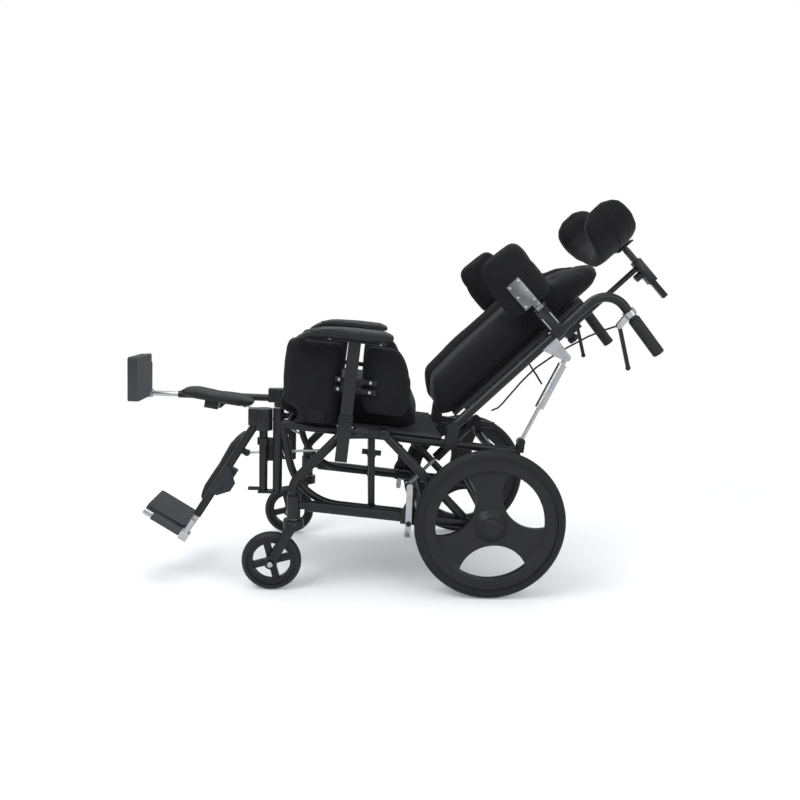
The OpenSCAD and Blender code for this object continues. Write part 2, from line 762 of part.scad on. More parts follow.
// Armrest sockets: a saddle on each rail, an arm, a sleeve and a clamp knob
post_out = 55;
post_x = seat_half + post_out;
arm_post_t = 10;
arm_post_w = 32;
arm_post_u = -104;
sleeve_wall = 2.6;
sleeve_low = -14;
sleeve_high = 40;
saddle_half = 14;
saddle_high = 24;
saddle_low = -12;
arm_low = 4;
knob_r = 10;
knob_l = 32;
knob_v = 1;
knob_gap = 12;
knob_stem_r = 4;
knob_out = 2;
module armrest_sockets() {
  sleeve_x0 = post_x - arm_post_t / 2 - seam - sleeve_wall;
  sleeve_x1 = post_x + arm_post_t / 2 + seam + sleeve_wall;
  sleeve_u0 = arm_post_u - arm_post_w / 2 - seam - sleeve_wall;
  sleeve_u1 = arm_post_u + arm_post_w / 2 + seam + sleeve_wall;
  color(frame_c) for (side = [-1, 1])
    on_side(side) rail_frame() {
      difference() {
        union() {
          block(seat_half - saddle_half, seat_half + saddle_half, -saddle_front,
            -saddle_front + saddle_w, saddle_low, saddle_high);
          block(seat_half, sleeve_x0 + over, -saddle_front, -saddle_front + saddle_w,
            arm_low, saddle_high);
          block(sleeve_x0, sleeve_x1, sleeve_u0, sleeve_u1, sleeve_low, sleeve_high);
        }
        rod(seat_half, [-rail_front, -rail_drop], [rail_rear, -rail_drop], rail_r + fit);
        block(post_x - arm_post_t / 2 - seam, post_x + arm_post_t / 2 + seam,
          arm_post_u - arm_post_w / 2 - seam, arm_post_u + arm_post_w / 2 + seam,
          sleeve_low - over, sleeve_high + over);
      }
      rod(post_x + knob_out, [sleeve_u1 - over / 2, knob_v], [sleeve_u1 + knob_gap, knob_v],
        knob_stem_r);
      rod(post_x + knob_out, [sleeve_u1 + knob_gap, knob_v],
        [sleeve_u1 + knob_gap + knob_l, knob_v], knob_r);
    }
}

// Armrests: post, bracket bars with bolts, and the channel under the pad
bar_t = 5;
bar_h = 14;
bar_v = [104, 129];
bar_u0 = -144;
bar_u1 = -34;
pad_bolt_u = [-133, -52];
pad_bolt_r = 6;
pad_bolt_t = 4;
channel_t = 6;
channel_front = 180;
channel_rear = 25;
side_pad_inset = 8;
side_pad_in = seat_half - side_pad_inset;
module armrest_frame() {
  inner = side_pad_in + side_t + seam;
  post_x0 = post_x - arm_post_t / 2;
  color(frame_c) rail_frame() {
    block(post_x0, post_x0 + arm_post_t, arm_post_u - arm_post_w / 2,
      arm_post_u + arm_post_w / 2, arm_h - arm_post_l, arm_h);
    block(inner + bar_t - over, post_x0 + over, -saddle_front, -saddle_front + saddle_w,
      bar_v[0] - bar_h / 2, bar_v[1] + bar_h / 2);
    for (v = bar_v) {
      block(inner, inner + bar_t, bar_u0, bar_u1, v - bar_h / 2, v + bar_h / 2);
      for (u = pad_bolt_u)
        disc(inner + bar_t - over, inner + bar_t + pad_bolt_t, [u, v], pad_bolt_r);
    }
    block(post_x0 - arm_post_t, post_x0 + arm_post_t, -channel_front, -channel_rear,
      arm_h, arm_h + channel_t);
  }
}
arm_pad_rear = -5;
arm_pad_round = 9;
arm_pad_step = 2;
arm_pad_x = side_pad_in + side_t + arm_pad_step;
arm_sides_share = [[0, 0, 1], [1, 0, 1]];
arm_heights_share = [
  [0, -0.85, -0.5], [0.08, -0.55, 0.1], [0.2, -0.1, 0.62], [0.3, 0, 0.85],
  [0.6, 0, 1], [0.9, 0, 1.08], [1, 0.3, 0.8]
];
arm_cross_share = [[0, 1], [0.5, 0.97], [0.8, 0.9], [1, 0.8]];
module armrest_pad() {
  color(vinyl_c) rail_frame()
    translate([arm_pad_x, arm_pad_rear - arm_pad_l, arm_h + channel_t + seam])
      pad([arm_pad_w, arm_pad_l, arm_pad_t], arm_pad_round, 16, 14, arm_sides_share, arm_heights_share,
        arm_cross_share);
}

// Side pads: a thigh pad in front of the armrest post and a hip pad behind
side_round = 12;
thigh_rear = -122;
hip_front = -78;
hip_low = 45;
thigh_low = 2;
hip_sides_share = [[0, 0.12, 0.9], [0.2, 0.02, 0.98], [0.6, 0, 0.96], [0.85, 0, 0.8], [1, 0.02, 0.66]];
thigh_sides_share = [
  [0, 0.32, 1], [0.18, 0.28, 1], [0.22, 0.04, 1], [0.6, 0, 1], [0.9, 0.02, 1], [1, 0.08, 0.96]
];
side_heights_share = [[0, 0.05, 0.95], [0.2, 0, 1], [0.8, 0, 1], [1, 0.05, 0.95]];
side_cross_share = [[0, 1], [0.55, 1], [0.75, 0.96], [0.9, 0.9], [1, 0.86]];
strap_u = [-205, -158];
strap_v = [8, 44];
strap_t = 2;
module side_pads() {
  color(fabric_c) rail_frame() {
    translate([side_pad_in, hip_front, hip_low]) rotate([90, 0, 90])
      pad([hip_l, hip_h, side_t], side_round, 20, 11, hip_sides_share, side_heights_share,
        side_cross_share);
    translate([side_pad_in, thigh_rear - thigh_l, thigh_low]) rotate([90, 0, 90])
      pad([thigh_l, thigh_h, side_t], side_round, 20, 13, thigh_sides_share, side_heights_share,
        side_cross_share);
    block(side_pad_in + side_t + seam, side_pad_in + side_t + seam + strap_t,
      strap_u[0], strap_u[1], strap_v[0], strap_v[1]);
  }
}

// Seat cushion: crowned, with two sewn channels across
seat_front = 293;
seat_round = 10;
seat_sides_share = [
  [0, -0.94, 0.94], [0.08, -0.985, 0.985], [0.25, -0.99, 0.99], [0.5, -0.965, 0.965],
  [0.8, -0.99, 0.99], [0.95, -0.98, 0.98], [1, -0.95, 0.95]
];
seat_heights_share = [
  [0, 0.08, 0.56], [0.06, 0, 0.78], [0.2, 0, 0.9], [0.33, 0, 0.93], [0.36, 0, 0.89],
  [0.39, 0, 0.94], [0.6, 0, 0.97], [0.64, 0, 0.93], [0.68, 0, 0.98], [0.84, 0, 1],
  [0.92, 0, 0.86], [0.97, 0.02, 0.6], [1, 0.1, 0.36]
];
seat_cross_share = [[0, 1], [0.3, 0.99], [0.6, 0.96], [0.85, 0.93], [0.95, 0.88], [1, 0.8]];
module seat_cushion() {
  color(fabric_c) rail_frame()
    translate([0, -seat_front, -rail_drop + rail_r + 2 * seam + sling_t])
      pad([cushion_half, seat_l, seat_t], seat_round, 24, 30, seat_sides_share, seat_heights_share,
        seat_cross_share);
}

// Legrests. In the leg's frame Y runs back along the leg to the knee,
// and Z towards the toes.
knee = [-swing_y - knee_step, knee_z];
knee_r = 5;
knee_eye_r = 13;
knee_eye_half = 10.5;
house_clear = 1;
house_r = swing_y - post_y - post_r - house_clear;
house_skirt = 3;
house_low = 425;
house_high = 482;
house_half = 16.5;
house_front = 38;
house_cover = 14;
house_gap = 0.5;
house_head_t = 3;
house_head_r = 6;
hanger_top = 428;
ratchet_in = 20;
ratchet_x = seat_half - ratchet_in;
ratchet_r = 3.5;
ratchet_l = 193;
ratchet_eye_r = 8;
ratchet_eye_t = 8;
ratchet_pin = [-95, -22];
ratchet_pin_r = 3.5;
ratchet_guide = [-577, 362];
guide_half = 24;
guide_slot = 19;
guide_front = 13;
guide_rear = 11;
guide_wall = 2.2;
latch_t = 8;
latch_l = 40;
function leg_to_floor(p, drop) =
  knee + [p.x * cos(drop) - p.y * sin(drop), p.x * sin(drop) + p.y * cos(drop)];
function drop_of(side) = side > 0 ? left_drop : -right_rise;
function reach_of(side) = side > 0 ? left_reach : right_reach;
module leg_frame(side) {
  floor_frame() translate([0, knee.x, knee.y]) rotate([drop_of(side), 0, 0]) children();
}
module leg_hanger() {
  slot = leg_r + house_gap;
  color(frame_c) floor_frame() {
    difference() {
      union() {
        translate([seat_half, -swing_y, hanger_low]) cylinder(h = hanger_top - hanger_low, r = leg_r);
        block(seat_half - leg_r / 2, seat_half + leg_r / 2, -swing_y - latch_l, -swing_y,
          hanger_low, hanger_low + latch_t);
        block(ratchet_x - ratchet_r - seam - 2 * guide_wall, seat_half - leg_r / 2,
          -swing_y - leg_r / 2, ratchet_guide.x - guide_front + over,
          ratchet_guide.y - guide_half, ratchet_guide.y + guide_half);
        block(ratchet_x - ratchet_r - seam - 2 * guide_wall, ratchet_x + ratchet_r + seam + guide_wall,
          ratchet_guide.x - guide_front, ratchet_guide.x + guide_rear,
          ratchet_guide.y - guide_half, ratchet_guide.y + guide_half);
      }
      translate([seat_half, -swing_y, hanger_low - over])
        cylinder(h = hang_pin_l + over, r = hang_pin_r + fit);
      block(ratchet_x - ratchet_r - seam, ratchet_x + ratchet_r + seam,
        -swing_y - leg_r, ratchet_guide.x + guide_rear + over,
        ratchet_guide.y - guide_slot, ratchet_guide.y + guide_slot);
    }
    difference() {
      union() {
        translate([seat_half, -swing_y, house_low])
          cylinder(h = house_high - house_low, r = house_r);
        block(seat_half - house_half, seat_half + house_half, -swing_y - house_front, -swing_y,
          house_high - house_cover - 2 * knee_eye_r - house_skirt, house_high);
      }
      block(seat_half - slot, seat_half + slot, -swing_y - 2 * house_front, -swing_y + over,
        house_low - over, house_high - house_cover);
    }
    disc(seat_half - house_half - house_head_t, seat_half + house_half + house_head_t,
      knee, knee_r);
    for (s = [-1, 1]) {
      x = seat_half + s * (house_half + house_head_t / 2);
      disc(x - house_head_t / 2, x + house_head_t / 2, knee, house_head_r);
    }
  }
}
foot_bore_start = 145;
calf_bolt = [-188, -22];
calf_bolt_r = 5;
clamp_l = 20;
clamp_drop = 31;
clamp_half = 11;
ear_t = 4.5;
module legrest(side) {
  color(frame_c) leg_frame(side) difference() {
    union() {
      disc(seat_half - knee_eye_half, seat_half + knee_eye_half, [0, 0], knee_eye_r);
      rod(seat_half, [0, 0], [-leg_l, 0], leg_r);
      block(seat_half - clamp_half, seat_half + clamp_half, calf_bolt.x - clamp_l / 2,
        calf_bolt.x + clamp_l / 2, -clamp_drop, 0);
      link(seat_half - leg_r - ear_t, seat_half - leg_r + over, [ratchet_pin.x, 0],
        ratchet_pin, 2 * ratchet_eye_r);
      strip(seat_half - leg_r - ear_t, seat_half, [ratchet_pin.x, 0], [ratchet_pin.x, -leg_r / 2],
        2 * ratchet_eye_r);
      disc(ratchet_x - ratchet_eye_t / 2 - seam - over, seat_half - leg_r, ratchet_pin,
        ratchet_pin_r);
      disc(ratchet_x - ratchet_eye_t / 2 - seam - ratchet_pin_r, ratchet_x - ratchet_eye_t / 2 - seam,
        ratchet_pin, 2 * ratchet_pin_r);
    }
    disc(seat_half - 2 * leg_r, seat_half + 2 * leg_r, [0, 0], knee_r + fit);
    rod(seat_half, [-foot_bore_start, 0], [-leg_l - over, 0], foot_r + fit);
    disc(seat_half - 2 * leg_r, seat_half + 2 * leg_r, calf_bolt, calf_bolt_r + fit);
  }
}
module ratchet_rod(side) {
  pin = leg_to_floor(ratchet_pin, drop_of(side));
  along = heading(pin, ratchet_guide);
  color(zinc_c) floor_frame() difference() {
    union() {
      disc(ratchet_x - ratchet_eye_t / 2, ratchet_x + ratchet_eye_t / 2, pin, ratchet_eye_r);
      rod(ratchet_x, pin + (ratchet_pin_r + over) * along, pin + ratchet_l * along, ratchet_r);
    }
    disc(ratchet_x - ratchet_eye_t, ratchet_x + ratchet_eye_t, pin, ratchet_pin_r + fit);
  }
}
calf_in = 28;
calf_low = -4;
calf_end = 284;
sector_t = 5;
sector_shares = [[-1, 0.15], [1, 0.15], [1, -0.1], [0.3, -1], [-0.25, -1], [-0.9, -0.4]];
sector_half = 44;
sector_drop = 40;
calf_shoe_l = 40;
calf_shoe_shares = [0.33, 0.8];
calf_round = 9;
calf_sides_share = [
  [0, 0.16, 0.84], [0.06, 0.04, 0.96], [0.2, 0, 1], [0.5, 0.02, 0.98], [0.85, 0, 1], [1, 0.12, 0.88]
];
calf_heights_share = [[0, 0.2, 0.7], [0.15, 0, 0.95], [0.5, 0, 0.9], [0.85, 0, 1], [1, 0.2, 0.75]];
calf_cross_share = [[0, 0.86], [0.4, 0.9], [0.75, 1], [0.9, 0.96], [1, 0.85]];
module calf_pad(side) {
  x0 = seat_half + leg_r + 2 * seam;
  pad_x = seat_half - calf_in - calf_w;
  pitch = side > 0 ? left_calf_pitch : right_calf_pitch;
  leg_frame(side)
    translate([0, calf_bolt.x, calf_bolt.y]) rotate([pitch, 0, 0])
      translate([0, -calf_bolt.x, -calf_bolt.y]) {
        color(slate_c) {
          plate(x0, x0 + sector_t, [
            for (p = sector_shares) [calf_bolt.x + p.x * sector_half, p.y * sector_drop]
          ]);
          disc(pad_x + calf_w / 2, x0 + sector_t + 2 * seam, calf_bolt, calf_bolt_r);
          block(pad_x + calf_shoe_shares[0] * calf_w, pad_x + calf_shoe_shares[1] * calf_w,
            calf_bolt.x - calf_shoe_l / 2, calf_bolt.x + calf_shoe_l / 2,
            calf_bolt.y - calf_bolt_r, calf_low - seam);
        }
        color(vinyl_c) translate([pad_x, -calf_end, calf_low])
          pad([calf_w, calf_l, calf_t], calf_round, 16, 14, calf_sides_share, calf_heights_share,
            calf_cross_share);
      }
}
sole_t = 8;
hinge_drop = 13;
spindle_r = 6;
barrel_r = 11;
barrel_low = 13;
barrel_high = 98;
spindle_top = 124;
foot_inset = 14;
foot_heel = -5;
foot_wall = 5;
heel_step = 14;
foot_tube_l = 190;
end_block = 12;
end_inset = 2;
strap_bar_l = 51;
strap_bar_t = 3;
module footrest_tube(side) {
  w = reach_of(side) + hinge_drop;
  x0 = seat_half + leg_r + 2 * seam;
  color(zinc_c) leg_frame(side) {
    rod(seat_half, [foot_tube_l - w, 0], [-w, 0], foot_r);
    block(seat_half - foot_r - end_inset, x0 + strap_bar_t, -w - end_block, -w + end_block,
      -end_block, barrel_low - seam - over);
    block(x0, x0 + strap_bar_t, -w - end_block, -w + strap_bar_l, -end_block / 2, end_block / 2);
    rod(seat_half, [-w, 0], [-w, barrel_high + 2 * seam], spindle_r);
    rod(seat_half, [-w, barrel_high + seam], [-w, spindle_top], foot_r);
  }
}
module footplate(side) {
  w = reach_of(side) + hinge_drop;
  sole = -reach_of(side);
  x1 = seat_half - foot_inset;
  x0 = x1 - foot_w;
  top = foot_heel + foot_l;
  color(slate_c) leg_frame(side) {
    difference() {
      union() {
        block(x0, x1, sole - foot_t, sole, barrel_low, top);
        block(x0, x1 - heel_step, sole - foot_t, sole, foot_heel, barrel_low + over);
      }
      block(x0 + foot_wall, x1 - foot_wall, sole - foot_t - over, sole - sole_t,
        barrel_low + foot_wall, top - foot_wall);
      block(x0 + foot_wall, x1 - foot_wall - heel_step, sole - foot_t - over, sole - sole_t,
        foot_heel + foot_wall, barrel_low + 2 * foot_wall);
    }
    difference() {
      union() {
        rod(seat_half, [-w, barrel_low], [-w, barrel_high], barrel_r);
        block(x1 - over, seat_half, -w - barrel_r / 2, -w + barrel_r / 2, barrel_low, barrel_high);
      }
      rod(seat_half, [-w, barrel_low - over], [-w, barrel_high + over], spindle_r + fit);
    }
  }
}

// Backrest. In its frame Y runs up along the canes and Z to the front.
cane_foot = 14;
handle_dir = [cos(handle_turn), -sin(handle_turn)];
handle_end = [cane_l, 0] + handle_l * handle_dir;
function on_handle(d) = [cane_l, 0] + d * handle_dir;
bar_low_s = 230;
bar_high_s = 440;
bar_collar_r = 11;
bar_collar_in = 19;
module cane() {
  color(frame_c) back_frame() difference() {
    union() {
      tube(seat_half, [[-cane_foot, 0], [cane_l, 0], handle_end], cane_bend, cane_r);
      for (s = [bar_low_s, bar_high_s])
        disc(seat_half - bar_collar_in, seat_half, [s, 0], bar_collar_r);
    }
    disc(seat_half - 2 * cane_r, seat_half + 2 * cane_r, [0, 0], hinge_pin_r + fit);
  }
}
// Cross bars of the back with the headrest's socket block
stem_t = -60;
stem_r2 = 8;
socket_below = 28;
socket_above = 26;
socket_low = bar_high_s - socket_below;
socket_high = bar_high_s + socket_above;
socket_half = 15;
socket_back = 76;
socket_knob_r = 13;
socket_knob_l = 16;
module back_cross_bars() {
  bar_end = seat_half - bar_collar_in;
  color(frame_c) back_frame() {
    disc(-bar_end, bar_end, [bar_low_s, 0], cross_r);
    disc(-bar_end, bar_end, [bar_high_s, 0], cross_r);
    difference() {
      block(-socket_half, socket_half, socket_low, socket_high, -socket_back, 0);
      rod(0, [socket_low - over, stem_t], [socket_high + over, stem_t], stem_r2 + fit);
    }
    translate([0, (socket_low + socket_high) / 2 - socket_knob_r, -socket_back + over])
      rotate([180, 0, 0]) cylinder(h = socket_knob_l + over, r = socket_knob_r);
  }
}
panel_t = 3;
panel_inset = 2;
panel_low = 24;
panel_high = 470;
tab_low = 56;
trunk_drop = 178;
trunk_s = cane_l - trunk_drop;
tab_half = 22;
tab_gap = [trunk_s - tab_half, trunk_s + tab_half];
module back_panel() {
  t0 = cane_r + seam;
  mid = back_half - panel_inset;
  color(fabric_c) back_frame() {
    block(-mid, mid, panel_low, panel_high, t0, t0 + panel_t);
    for (s = [-1, 1])
      on_side(s) {
        block(mid - over, seat_half, tab_low, tab_gap[0], t0, t0 + panel_t);
        block(mid - over, seat_half, tab_gap[1], panel_high, t0, t0 + panel_t);
      }
  }
}
back_low = -10;
back_round = 12;
back_sides_share = [
  [0, -0.9, 0.9], [0.05, -0.97, 0.97], [0.25, -0.99, 0.99], [0.5, -0.95, 0.95],
  [0.75, -0.99, 0.99], [0.9, -0.96, 0.96], [0.96, -0.88, 0.88], [1, -0.6, 0.6]
];
back_heights_share = [
  [0, 0.1, 0.42], [0.04, 0, 0.72], [0.09, 0, 0.93], [0.3, 0, 1], [0.52, 0, 0.97],
  [0.72, 0, 1], [0.84, 0, 0.78], [0.94, 0, 0.55], [1, 0.08, 0.36]
];
dip_share = 1 - back_dip / back_t;
back_cross_share = [
  [0, dip_share + 0.06], [0.2, dip_share + 0.04], [0.42, dip_share], [0.5, dip_share + 0.01],
  [0.62, 0.97], [0.75, 1], [0.9, 0.96], [1, 0.8]
];
back_boxy = 0.4;
module back_cushion() {
  color(fabric_c) back_frame() translate([0, back_low, cane_r + 2 * seam + panel_t])
    pad([back_half, back_l, back_t], back_round, 32, 34, back_sides_share, back_heights_share,
      back_cross_share, back_boxy);
}
grip_wall = 4;
module hand_grips() {
  start = on_handle(handle_l + grip_wall - grip_l);
  color(rubber_c) for (side = [-1, 1])
    on_side(side) back_frame() difference() {
      rod(seat_half, start, on_handle(handle_l + grip_wall), grip_r);
      rod(seat_half, start - over * handle_dir, handle_end + fit * handle_dir, cane_r + fit);
    }
}
// Clamps and ears of the hand levers, and the recline spring's bracket
ring_wall = 4.5;
lever_ring = 92;
lever_ring_w = 16;
lever_step = 47;
lever_out = 98;
lever_pivot = [cane_l - lever_step, -lever_out];
lever_pin_r = 3;
lever_t = 6;
lever_w = 10;
lever_boss_r = 6;
lever_back = 55;
lever_l = 102;
lever_end = lever_pivot - [lever_back, lever_l];
lever_ball_r = 7;
lever_ear_t = 3;
lever_gap = 0.3;
strut_foot = 308;
strut_foot_w = 52;
module lever_brackets() {
  color(frame_c) for (side = [-1, 1])
    on_side(side) back_frame() {
      difference() {
        union() {
          rod(seat_half, on_handle(lever_ring - lever_ring_w / 2),
            on_handle(lever_ring + lever_ring_w / 2), cane_r + ring_wall);
          for (s = [-1, 1]) {
            x = seat_half + s * (lever_t / 2 + lever_gap + lever_ear_t / 2);
            link(x - lever_ear_t / 2, x + lever_ear_t / 2, on_handle(lever_ring), lever_pivot,
              lever_ring_w);
          }
        }
        rod(seat_half, on_handle(lever_ring - lever_ring_w), on_handle(lever_ring + lever_ring_w),
          cane_r + fit);
      }
      disc(seat_half - lever_t - lever_ear_t, seat_half + lever_t + lever_ear_t, lever_pivot,
        lever_pin_r);
    }
  color(zinc_c) back_frame() {
    difference() {
      for (s = [-1, 1]) {
        x = seat_half + s * (gas_eye_w / 2 + gas_ear_gap + gas_ear_t / 2);
        plate(x - gas_ear_t / 2, x + gas_ear_t / 2, [
          [strut_foot, 0], [strut_foot + strut_foot_w, 0],
          strut_top + [gas_ear_r, 0], strut_top + [-gas_ear_r, 0]
        ]);
        disc(x - gas_ear_t / 2, x + gas_ear_t / 2, strut_top, gas_ear_r);
      }
      rod(seat_half, [strut_foot - over, 0], [strut_foot + strut_foot_w + over, 0], cane_r + fit);
    }
    disc(seat_half - gas_eye_w, seat_half + gas_eye_w, strut_top, gas_pin_r);
  }
}
module hand_lever() {
  color(zinc_c) back_frame() {
    difference() {
      union() {
        link(seat_half - lever_t / 2, seat_half + lever_t / 2, lever_pivot, lever_end, lever_w);
        disc(seat_half - lever_t / 2, seat_half + lever_t / 2, lever_pivot, lever_boss_r);
      }
      disc(seat_half - lever_t, seat_half + lever_t, lever_pivot, lever_pin_r + fit);
    }
    translate([seat_half, lever_end.x, lever_end.y]) sphere(r = lever_ball_r);
  }
}

// Release cables, held from the levers down to the two gas springs
cable_r = 2.5;
cable_sides = 8;
tilt_cable = [
  [194.9, 500, -96], [188, 472, -84], [184, 428, -68], [184, 385, -57], [184, 342, -46],
  [184, 300, -40], [180, 272, -37], [160, 250, -42], [130, 233, -50], [100, 218, -58],
  [75, 195, -67], [50, 170, -76], [30, 148, -84], [16, 128, -88], [4, 110, -84]
];
recline_cable = [
  [-194.9, 500, -96], [-188, 472, -84], [-184, 428, -68], [-180, 385, -56], [-165, 350, -48],
  [-130, 320, -44], [-80, 300, -44], [-20, 288, -46], [40, 278, -50], [90, 270, -56],
  [130, 264, -64], [160, 258, -72], [180, 254, -80]
];
function cable_ring(p, i) =
  let (
    a = p[max(i - 1, 0)],
    b = p[min(i + 1, len(p) - 1)],
    d = (b - a) / norm(b - a),
    side0 = cross(d, [0, 0.3, 1]),
    e = side0 / norm(side0),
    f = cross(d, e)
  )
  [
    for (k = [0 : cable_sides - 1])
      p[i] + cable_r * (cos(360 * k / cable_sides) * e - sin(360 * k / cable_sides) * f)
  ];
module release_cables() {
  color(rubber_c) back_frame() for (run = [tilt_cable, recline_cable])
    loft([for (i = [0 : len(run) - 1]) cable_ring(run, i)]);
}

// Headrest
stem_low = 372;
clamp_half_x = 14;
clamp_s = 13;
clamp_front = -41;
clamp_back = -121;
head_knob_r = 11;
head_knob_l = 20;
head_bar_front = -7;
head_hinge_r = 8;
head_hinge_l = 26;
head_pin_r = 3.5;
module headrest_stem() {
  color(frame_c) back_frame() {
    difference() {
      union() {
        rod(0, [stem_low, stem_t], [head_s - clamp_s + over, stem_t], stem_r2);
        block(-clamp_half_x, clamp_half_x, head_s - clamp_s, head_s + clamp_s,
          clamp_back, clamp_front);
        rod(0, [head_s - clamp_s - head_knob_l, stem_t - 2 * head_knob_r],
          [head_s - clamp_s + over, stem_t - 2 * head_knob_r], head_knob_r);
      }
      block(-head_bar_w / 2 - fit, head_bar_w / 2 + fit, head_s - head_bar_w / 2 - fit,
        head_s + head_bar_w / 2 + fit, clamp_back - over, clamp_front + over);
    }
  }
}
module headrest_bar() {
  color(frame_c) back_frame() {
    block(-head_bar_w / 2, head_bar_w / 2, head_s - head_bar_w / 2, head_s + head_bar_w / 2,
      head_bar_front - head_bar_l, head_bar_front);
    for (s = [-1, 1])
      on_side(s)
        link(head_bar_w / 4 + seam, head_bar_w / 2, [head_s, head_bar_front - head_hinge_r],
          [head_s, head_bar_front + head_hinge_r], 2 * head_hinge_r);
    disc(-head_bar_w / 2, head_bar_w / 2, [head_s, head_bar_front + head_hinge_r], head_pin_r);
  }
}
head_pad_low = 598;
head_pad_back = 16;
head_rings = 22;
head_sides = 20;
head_plate_t = 4;
head_knuckle_w = 15;
head_boxy = 0.5;
head_step_share = 0.04;
head_end_share = 0.12;
wing_taper_share = 0.12;
// Places along the headrest as shares: across, and forward of its middle
head_path_share = [
  [0, -1.06, 1.04], [0.1, -1.1, 0.82], [0.22, -1.05, 0.5], [0.34, -0.78, 0.2], [0.44, -0.3, 0.04],
  [0.5, 0, 0], [0.56, 0.3, 0.04], [0.66, 0.78, 0.2], [0.78, 1.05, 0.5], [0.9, 1.1, 0.82],
  [1, 1.06, 1.04]
];
function head_point(at) = [
  table(at, head_path_share, 1) * head_half, table(at, head_path_share, 2) * head_wing
];
function head_ring(j) =
  let (
    at = j / head_rings,
    a = head_point(max(at - head_step_share, 0)),
    b = head_point(min(at + head_step_share, 1)),
    d = heading(a, b),
    n = [-d.y, d.x],
    p = head_point(at),
    close = sqrt(max(head_end_share, 1 - pow(abs(2 * at - 1), 8))),
    wing = 1 - wing_taper_share * pow(abs(2 * at - 1), 2)
  )
  [
    for (i = [0 : head_sides - 1])
      let (
        angle = 360 * i / head_sides,
        q = power(cos(angle), head_boxy) * head_t / 2 * close,
        h = power(sin(angle), head_boxy) * head_h / 2 * close * wing
      )
      [p.x + q * n.x, head_pad_low + head_h / 2 + h, head_pad_back + head_t / 2 + p.y + q * n.y]
  ];
module headrest_pad() {
  t1 = head_pad_back - seam;
  knuckle = [head_s, head_bar_front + head_hinge_r];
  color(fabric_c) back_frame() loft([for (j = [0 : head_rings]) head_ring(j)]);
  color(frame_c) back_frame() difference() {
    union() {
      link(-head_bar_w / 4, head_bar_w / 4, [head_s, t1], knuckle, head_knuckle_w);
      block(-head_hinge_l, head_hinge_l, head_s - head_hinge_l, head_s + head_hinge_l,
        t1 - head_plate_t, t1);
    }
    disc(-head_bar_w, head_bar_w, knuckle, head_pin_r + fit);
  }
}

// Trunk supports: an arm on each cane and a pad that swings aside on it
trunk_out = 32;
trunk_round = 14;
trunk_hinge = [seat_half + trunk_out, 86];
trunk_hinge_r = 6;
trunk_pin_r = 2.5;
trunk_arm_half = 18;
trunk_leaf_half = 9.7;
trunk_arm_s = [trunk_s - trunk_arm_half, trunk_s + trunk_arm_half];
trunk_leaf_s = [trunk_s - trunk_leaf_half, trunk_s + trunk_leaf_half];
trunk_arm_t = 5;
trunk_ring_w = 26;
trunk_in = 2;
trunk_pad_t0 = 100;
trunk_below = 76;
trunk_low = trunk_s - trunk_below;
trunk_plate_low = 31;
trunk_plate_high = 10;
trunk_plate_s = [trunk_s - trunk_plate_low, trunk_s + trunk_plate_high];
trunk_plate_t = [104, 183];
module trunk_barrel(s0, s1, r) {
  translate([trunk_hinge.x, s0, trunk_hinge.y]) rotate([-90, 0, 0]) cylinder(h = s1 - s0, r = r);
}
module lateral_arm() {
  s_mid = (trunk_arm_s[0] + trunk_arm_s[1]) / 2;
  arm_x = seat_half + cane_r + ring_wall - trunk_arm_t / 2;
  color(frame_c) back_frame() {
    difference() {
      union() {
        rod(seat_half, [s_mid - trunk_ring_w / 2, 0], [s_mid + trunk_ring_w / 2, 0],
          cane_r + ring_wall);
        block(arm_x, arm_x + trunk_arm_t, trunk_arm_s[0], trunk_arm_s[1], 0,
          trunk_hinge.y - trunk_hinge_r + trunk_arm_t);
        for (s = [[trunk_arm_s[0], trunk_leaf_s[0] - seam], [trunk_leaf_s[1] + seam, trunk_arm_s[1]]]) {
          block(arm_x, trunk_hinge.x, s[0], s[1], trunk_hinge.y - trunk_hinge_r,
            trunk_hinge.y - trunk_hinge_r + trunk_arm_t);
          trunk_barrel(s[0], s[1], trunk_hinge_r);
        }
      }
      rod(seat_half, [s_mid - trunk_ring_w, 0], [s_mid + trunk_ring_w, 0], cane_r + fit);
      block(arm_x - over, trunk_hinge.x + 2 * trunk_hinge_r, trunk_leaf_s[0] - seam,
        trunk_leaf_s[1] + seam, trunk_hinge.y - trunk_hinge_r - seam - trunk_arm_t / 2,
        trunk_hinge.y + 2 * trunk_hinge_r);
    }
    trunk_barrel(trunk_arm_s[0], trunk_arm_s[1], trunk_pin_r);
  }
}
trunk_sides_share = [[0, 0.1, 0.92], [0.15, 0.02, 1], [0.5, 0, 1], [0.85, 0.04, 0.98], [1, 0.14, 0.9]];
trunk_heights_share = [[0, 0.12, 0.88], [0.2, 0, 1], [0.8, 0, 1], [1, 0.12, 0.88]];
trunk_cross_share = [[0, 1], [0.5, 0.98], [0.8, 0.93], [1, 0.8]];
trunk_slant = 4.5;
